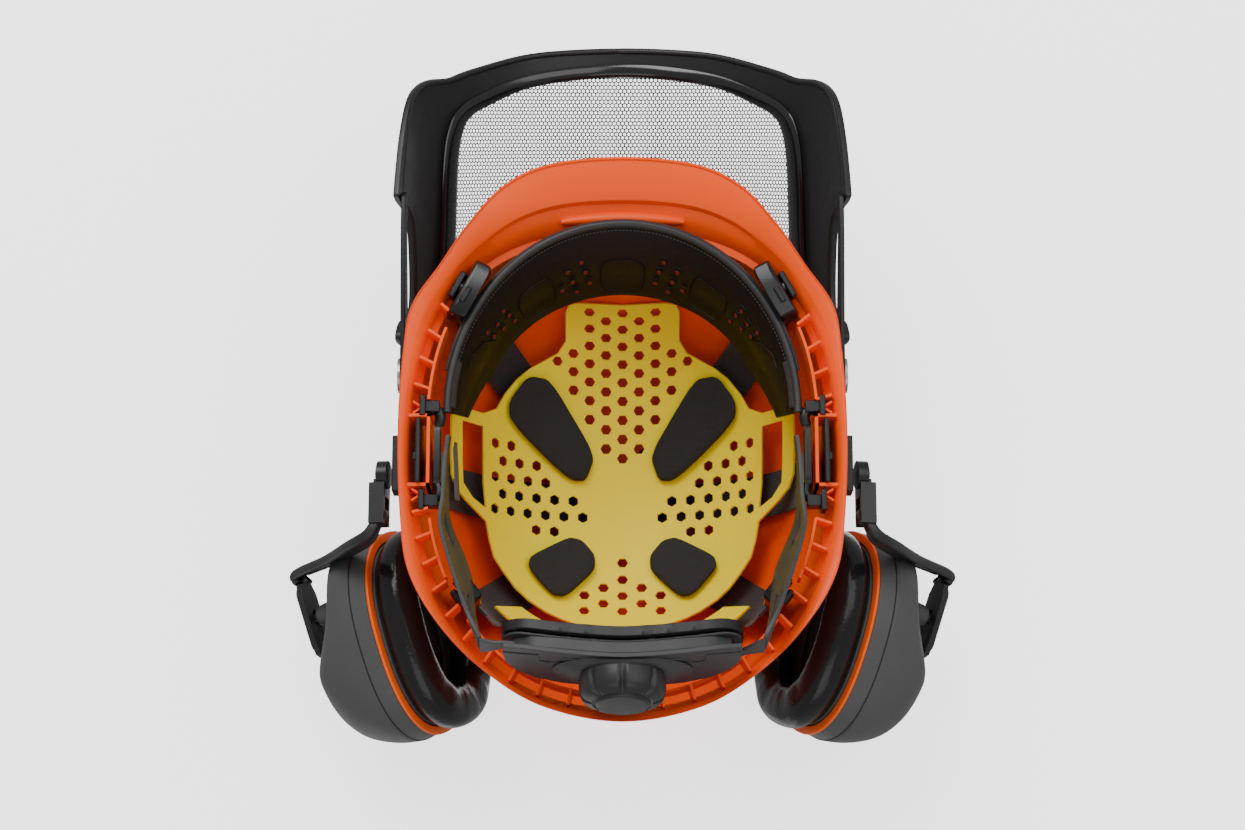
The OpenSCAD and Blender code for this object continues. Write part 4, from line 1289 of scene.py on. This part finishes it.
def build_arm(s, side):
    end = CUP[0] + CUP_OUT * SLIDER + CUP_ALONG * STUD - CUP_ALONG * 19
    line = spline([FLIP_AT, FLIP_AT + [-6, 10, 3], lerp(FLIP_AT, end, 0.55) + [-2, 2, 1],
                   end - CUP_ALONG * 6, end - CUP_ALONG * 0.4], 10)
    form = Form()
    rings = []
    n = len(line)
    for i, p in enumerate(line):
        d = unit(line[min(i + 1, n - 1)] - line[max(i - 1, 0)])
        t = i / (n - 1)
        w = unit(lerp(SWING_UP, -CUP_ACROSS, t))
        u = unit(w - d * (w @ d))
        v = np.cross(u, d)
        wide = lerp(3, 6.2, min(1, 3 * t)) + 1.3 * math.exp(-((t - 0.33) / 0.09) ** 2)
        rings.append([p + u * a + v * b * (1.3 if abs(a) > wide * 0.6 else 0.75)
                      for a, b in oval(wide, 2.2, 24, 3.5)])
    form.loft(rings)
    at = (FLIP_AT, SWING_SIDE, SWING_AXIS, SWING_UP)
    form.slab(circle(5, 32), at, -3, 3, [circle(2.1, 24)])
    obj = form.piece(f"{side}_spring_arm", f"{side}_arm", "arm_plastic", [f"{side}_arm"], 35, mirror=s > 0)
    bevel(obj, 0.3)
    form = Form()
    at = (CUP[0] + CUP_ALONG * STUD + CUP_OUT * (SLIDER - 2), CUP_ACROSS, CUP_ALONG, CUP_OUT)
    outline = [(-6.5, 19), (-8, 8), (-7.6, -12), (-5, -20), (5, -20), (7.6, -12), (8, 8), (6.5, 19),
               (3, 21.5), (-3, 21.5)]
    slot = [(x, y + 4.9) for x, y in rounded(4.4, 18.2, 1.4)]
    form.slab(outline, at, 0.6, 4, [slot])
    rail = [place(at, x, y, 4.0) for x, y in rounded(12.5, 35, 4.5)]
    form.tube(rail, 1.0, 8, loop=True)
    obj = form.piece(f"{side}_slider", f"{side}_arm", "arm_plastic", [f"{side}_slider_plate"], 35,
                     mirror=s > 0)
    bevel(obj, 0.5)


def build_hinge(s, side):
    form = Form()
    axes = (SWING_SIDE, SWING_UP, SWING_AXIS)
    disc = oval(7.2, 7.2, 48, 2)
    form.slab([tuple(p) for p in disc], SWING, 0.2, 5.6)
    form.slab([tuple(p * 0.55) for p in disc], SWING, 5.4, 6.6)
    for y in (-5.6, 5.6):
        form.box(place(SWING, 15.5, y, 5), (21, 2.4, 8), axes)
    form.box(place(SWING, 7.5, 0, 4), (9, 11, 6), axes)
    for x in (12, 17, 24):
        form.box(place(SWING, x, -7, 5), (2.2, 1.2, 6.5), axes)
    obj = form.piece(f"{side}_hinge", f"{side}_swivel", "clip_plastic", [f"{side}_hinge_block"], 30,
                     mirror=s > 0)
    bevel(obj, 0.5)
    form = Form()
    form.box((-103.4, SOCKET_Y - 1, 8), (2.4, 33, 26))
    form.box((-105, SOCKET_Y + 2, -3), (2.0, 4, 3))
    form.box((-109, SOCKET_Y + 3, 16.5), (12, 25, 5))
    form.box((-114.9, SOCKET_Y + 3, 15), (5, 29, 13.5))
    obj = form.piece(f"{side}_blade", "helmet", "clip_plastic", [f"{side}_socket_blade"], 30, mirror=s > 0)
    bevel(obj, 0.6)


def build_muffs():
    build_cushions()
    for s, side in SIDES:
        build_cup(s, side)
        build_arm(s, side)
        build_hinge(s, side)


# ---- Stage ----
FLOOR_GLOW = 2.0
FLOOR_HALF = 6.0
FLOOR_Z = 0.1535
WORLD_LIGHT = 0.5
CAMERA_LENS = 79.7
CAMERA_TILT = math.radians(14)
CAMERA_FAR = 1.4
# name, place, size and share of the key light's power
LIGHTS = (("key", (-0.5, -1.1, -1.5), 1.1, 1.0), ("fill", (0.9, -0.3, -1.6), 1.4, 0.45),
          ("low", (0.0, 1.3, -1.0), 1.2, 0.25), ("crown", (0.6, -1.0, 1.9), 1.5, 0.35),
          ("crown_rear", (-0.8, 1.1, 1.7), 1.5, 0.2))


def build_stage(floor_tone, key_power):
    """Pale floor that the crown rests on, seen from below, with soft lights and the camera."""
    mesh = bpy.data.meshes.new("floor")
    corners = [(x * FLOOR_HALF, y * FLOOR_HALF, FLOOR_Z) for x, y in ((-1, -1), (-1, 1), (1, 1), (1, -1))]
    mesh.from_pydata(corners, [], [(0, 1, 2, 3)])
    floor = bpy.data.objects.new("floor", mesh)
    bpy.context.scene.collection.objects.link(floor)
    p = Paint("Floor")
    tone = p.mix(p.noise(3.0), colour(*[floor_tone] * 3), colour(*[floor_tone * 0.985] * 3))
    p.finish(Base_Color=tone, Roughness=0.9, Specular_IOR_Level=0.0, Emission_Color=tone,
             Emission_Strength=FLOOR_GLOW, Normal=p.bump(p.noise(250.0), 0.3, 0.0006))
    clear = p.tree.nodes.new("ShaderNodeBsdfTransparent")
    back = p.node("ShaderNodeNewGeometry", output="Backfacing")
    blend = p.tree.nodes.new("ShaderNodeMixShader")
    p.put(blend.inputs[0], back)
    p.tree.links.new(p.shader.outputs[0], blend.inputs[1])
    p.tree.links.new(clear.outputs[0], blend.inputs[2])
    p.tree.links.new(blend.outputs[0], p.tree.nodes["Material Output"].inputs[0])
    mesh.materials.append(p.material)
    # the glow whitens the floor itself and must not light the hat
    floor.visible_diffuse = False
    floor.visible_glossy = False
    world = bpy.data.worlds.new("Pale room")
    world.use_nodes = True
    world.node_tree.nodes["Background"].inputs[0].default_value = (1, 1, 1, 1)
    world.node_tree.nodes["Background"].inputs[1].default_value = WORLD_LIGHT
    bpy.context.scene.world = world
    for name, at, size, share in LIGHTS:
        data = bpy.data.lights.new(name, "AREA")
        data.energy = key_power * share
        data.size = size
        lamp = bpy.data.objects.new(name, data)
        lamp.location = at
        lamp.rotation_mode = "QUATERNION"
        lamp.rotation_quaternion = (Vector((0, 0, 0.03)) - Vector(at)).to_track_quat("-Z", "Y")
        bpy.context.scene.collection.objects.link(lamp)
    tilt = CAMERA_TILT
    data = bpy.data.cameras.new("camera")
    data.lens = CAMERA_LENS
    data.clip_start = 0.05
    camera = bpy.data.objects.new("camera", data)
    camera.location = (0, -0.008 + CAMERA_FAR * math.sin(tilt), -CAMERA_FAR * math.cos(tilt))
    right = Vector((1, 0, 0))
    up = Vector((0, -math.cos(tilt), -math.sin(tilt)))
    camera.rotation_mode = "QUATERNION"
    camera.rotation_quaternion = Matrix((right, up, right.cross(up))).transposed().to_quaternion()
    bpy.context.scene.collection.objects.link(camera)
    bpy.context.scene.camera = camera


# ---- Add-on ----
def tint(label, what, default):
    return bpy.props.FloatVectorProperty(name=label, description=what, default=default, size=3,
                                         min=0.0, max=1.0, subtype="COLOR")


def length(label, what, default, low, high):
    return bpy.props.FloatProperty(name=label, description=what, default=default, min=low, max=high,
                                   precision=4, unit="LENGTH")


class HardHatSettings(bpy.types.PropertyGroup):
    """What may be changed before the hat is built."""

    shell_colour: tint("Shell", "Colour of the shell", (1.0, 0.085, 0.0))
    trim_colour: tint("Trim", "Colour of the rings on the ear cups", (1.0, 0.13, 0.0))
    liner_colour: tint("Liner", "Colour of the liner sheet", (1.0, 0.8, 0.0))
    cup_colour: tint("Cups", "Colour of the ear cups", (0.075, 0.075, 0.077))
    harness_colour: tint("Harness", "Colour of the side straps and the nape unit", (0.045, 0.045, 0.047))
    webbing_colour: tint("Webbing", "Colour of the textile straps", (0.02, 0.02, 0.021))
    webbing_width: length("Webbing width", "Width of the textile straps", 0.024, 0.015, 0.03)
    mesh_pitch: length("Mesh pitch", "Distance between the holes of the visor's sheet", 0.0023, 0.002, 0.006)
    liner_hole: length("Liner hole", "Radius of the liner's hexagon holes", 0.0031, 0.001, 0.0042)
    floor_tone: bpy.props.FloatProperty(
        name="Floor tone", description="How pale the floor is", default=0.92, min=0.2, max=1.0,
        subtype="FACTOR")
    key_power: bpy.props.FloatProperty(
        name="Key light", description="Power of the main light", default=27.0, min=1.0, max=200.0,
        unit="POWER")


def in_mm(value):
    """Millimetres of a panel's length, rounded because panels keep single precision."""
    return round(value / MM, 4)


def rgb(values):
    """Colour of a panel, rounded for the same reason."""
    return tuple(round(c, 4) for c in values)


class OBJECT_OT_hat_materials(bpy.types.Operator):
    """Mixes the materials and paints every plain part"""

    bl_idname = "object.hat_materials"
    bl_label = "Materials"

    def execute(self, context):
        hat = context.scene.hard_hat
        colours = (hat.shell_colour, hat.trim_colour, hat.liner_colour, hat.cup_colour, hat.harness_colour,
                   hat.webbing_colour)
        mix_paints(*[rgb(c) for c in colours])
        return {"FINISHED"}


class OBJECT_OT_hat_shell(bpy.types.Operator):
    """Builds the shell with its rim, ribs and sockets"""

    bl_idname = "object.hat_shell"
    bl_label = "Shell"

    def execute(self, context):
        build_shell()
        return {"FINISHED"}


class OBJECT_OT_hat_clips(bpy.types.Operator):
    """Builds the clips and hangers"""

    bl_idname = "object.hat_clips"
    bl_label = "Clips"

    def execute(self, context):
        build_clips()
        return {"FINISHED"}


class OBJECT_OT_hat_webbing(bpy.types.Operator):
    """Builds the textile straps"""

    bl_idname = "object.hat_webbing"
    bl_label = "Webbing"

    def execute(self, context):
        build_straps(in_mm(context.scene.hard_hat.webbing_width))
        return {"FINISHED"}


class OBJECT_OT_hat_brow(bpy.types.Operator):
    """Builds the sweatband and its headband"""

    bl_idname = "object.hat_brow"
    bl_label = "Brow band"

    def execute(self, context):
        build_sweatband()
        return {"FINISHED"}


class OBJECT_OT_hat_liner(bpy.types.Operator):
    """Builds the liner, its pads and the label strip"""

    bl_idname = "object.hat_liner"
    bl_label = "Liner"

    def execute(self, context):
        build_liner(in_mm(context.scene.hard_hat.liner_hole))
        return {"FINISHED"}


class OBJECT_OT_hat_nape(bpy.types.Operator):
    """Builds the side straps, the nape unit and the knob"""

    bl_idname = "object.hat_nape"
    bl_label = "Nape unit"

    def execute(self, context):
        build_side_straps()
        build_nape()
        build_knob()
        return {"FINISHED"}


class OBJECT_OT_hat_visor(bpy.types.Operator):
    """Builds the visor"""

    bl_idname = "object.hat_visor"
    bl_label = "Visor"

    def execute(self, context):
        build_visor(in_mm(context.scene.hard_hat.mesh_pitch))
        return {"FINISHED"}


class OBJECT_OT_hat_muffs(bpy.types.Operator):
    """Builds both ear muffs"""

    bl_idname = "object.hat_muffs"
    bl_label = "Ear muffs"

    def execute(self, context):
        build_muffs()
        return {"FINISHED"}


class OBJECT_OT_hat_stage(bpy.types.Operator):
    """Builds the floor, lights and camera"""

    bl_idname = "object.hat_stage"
    bl_label = "Stage"

    def execute(self, context):
        settings = context.scene.hard_hat
        build_stage(settings.floor_tone, settings.key_power)
        return {"FINISHED"}


STEPS = (OBJECT_OT_hat_materials, OBJECT_OT_hat_shell, OBJECT_OT_hat_clips, OBJECT_OT_hat_webbing,
         OBJECT_OT_hat_brow, OBJECT_OT_hat_liner, OBJECT_OT_hat_nape, OBJECT_OT_hat_visor,
         OBJECT_OT_hat_muffs, OBJECT_OT_hat_stage)


class VIEW3D_PT_hard_hat(bpy.types.Panel):
    """Sidebar panel with a button for each group"""

    bl_label = "Hard hat"
    bl_space_type = "VIEW_3D"
    bl_region_type = "UI"
    bl_category = "Hard hat"

    def draw(self, context):
        settings = context.scene.hard_hat
        for name in HardHatSettings.__annotations__:
            self.layout.prop(settings, name)
        for step in STEPS:
            self.layout.operator(step.bl_idname)


CLASSES = (HardHatSettings, *STEPS, VIEW3D_PT_hard_hat)


def register():
    for cls in CLASSES:
        bpy.utils.register_class(cls)
    bpy.types.Scene.hard_hat = bpy.props.PointerProperty(type=HardHatSettings)


def unregister():
    del bpy.types.Scene.hard_hat
    for cls in reversed(CLASSES):
        bpy.utils.unregister_class(cls)


def main():
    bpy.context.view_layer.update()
    register()
    for step in STEPS:
        group, name = step.bl_idname.split(".")
        getattr(getattr(bpy.ops, group), name)()


if __name__ == "__main__":
    main()
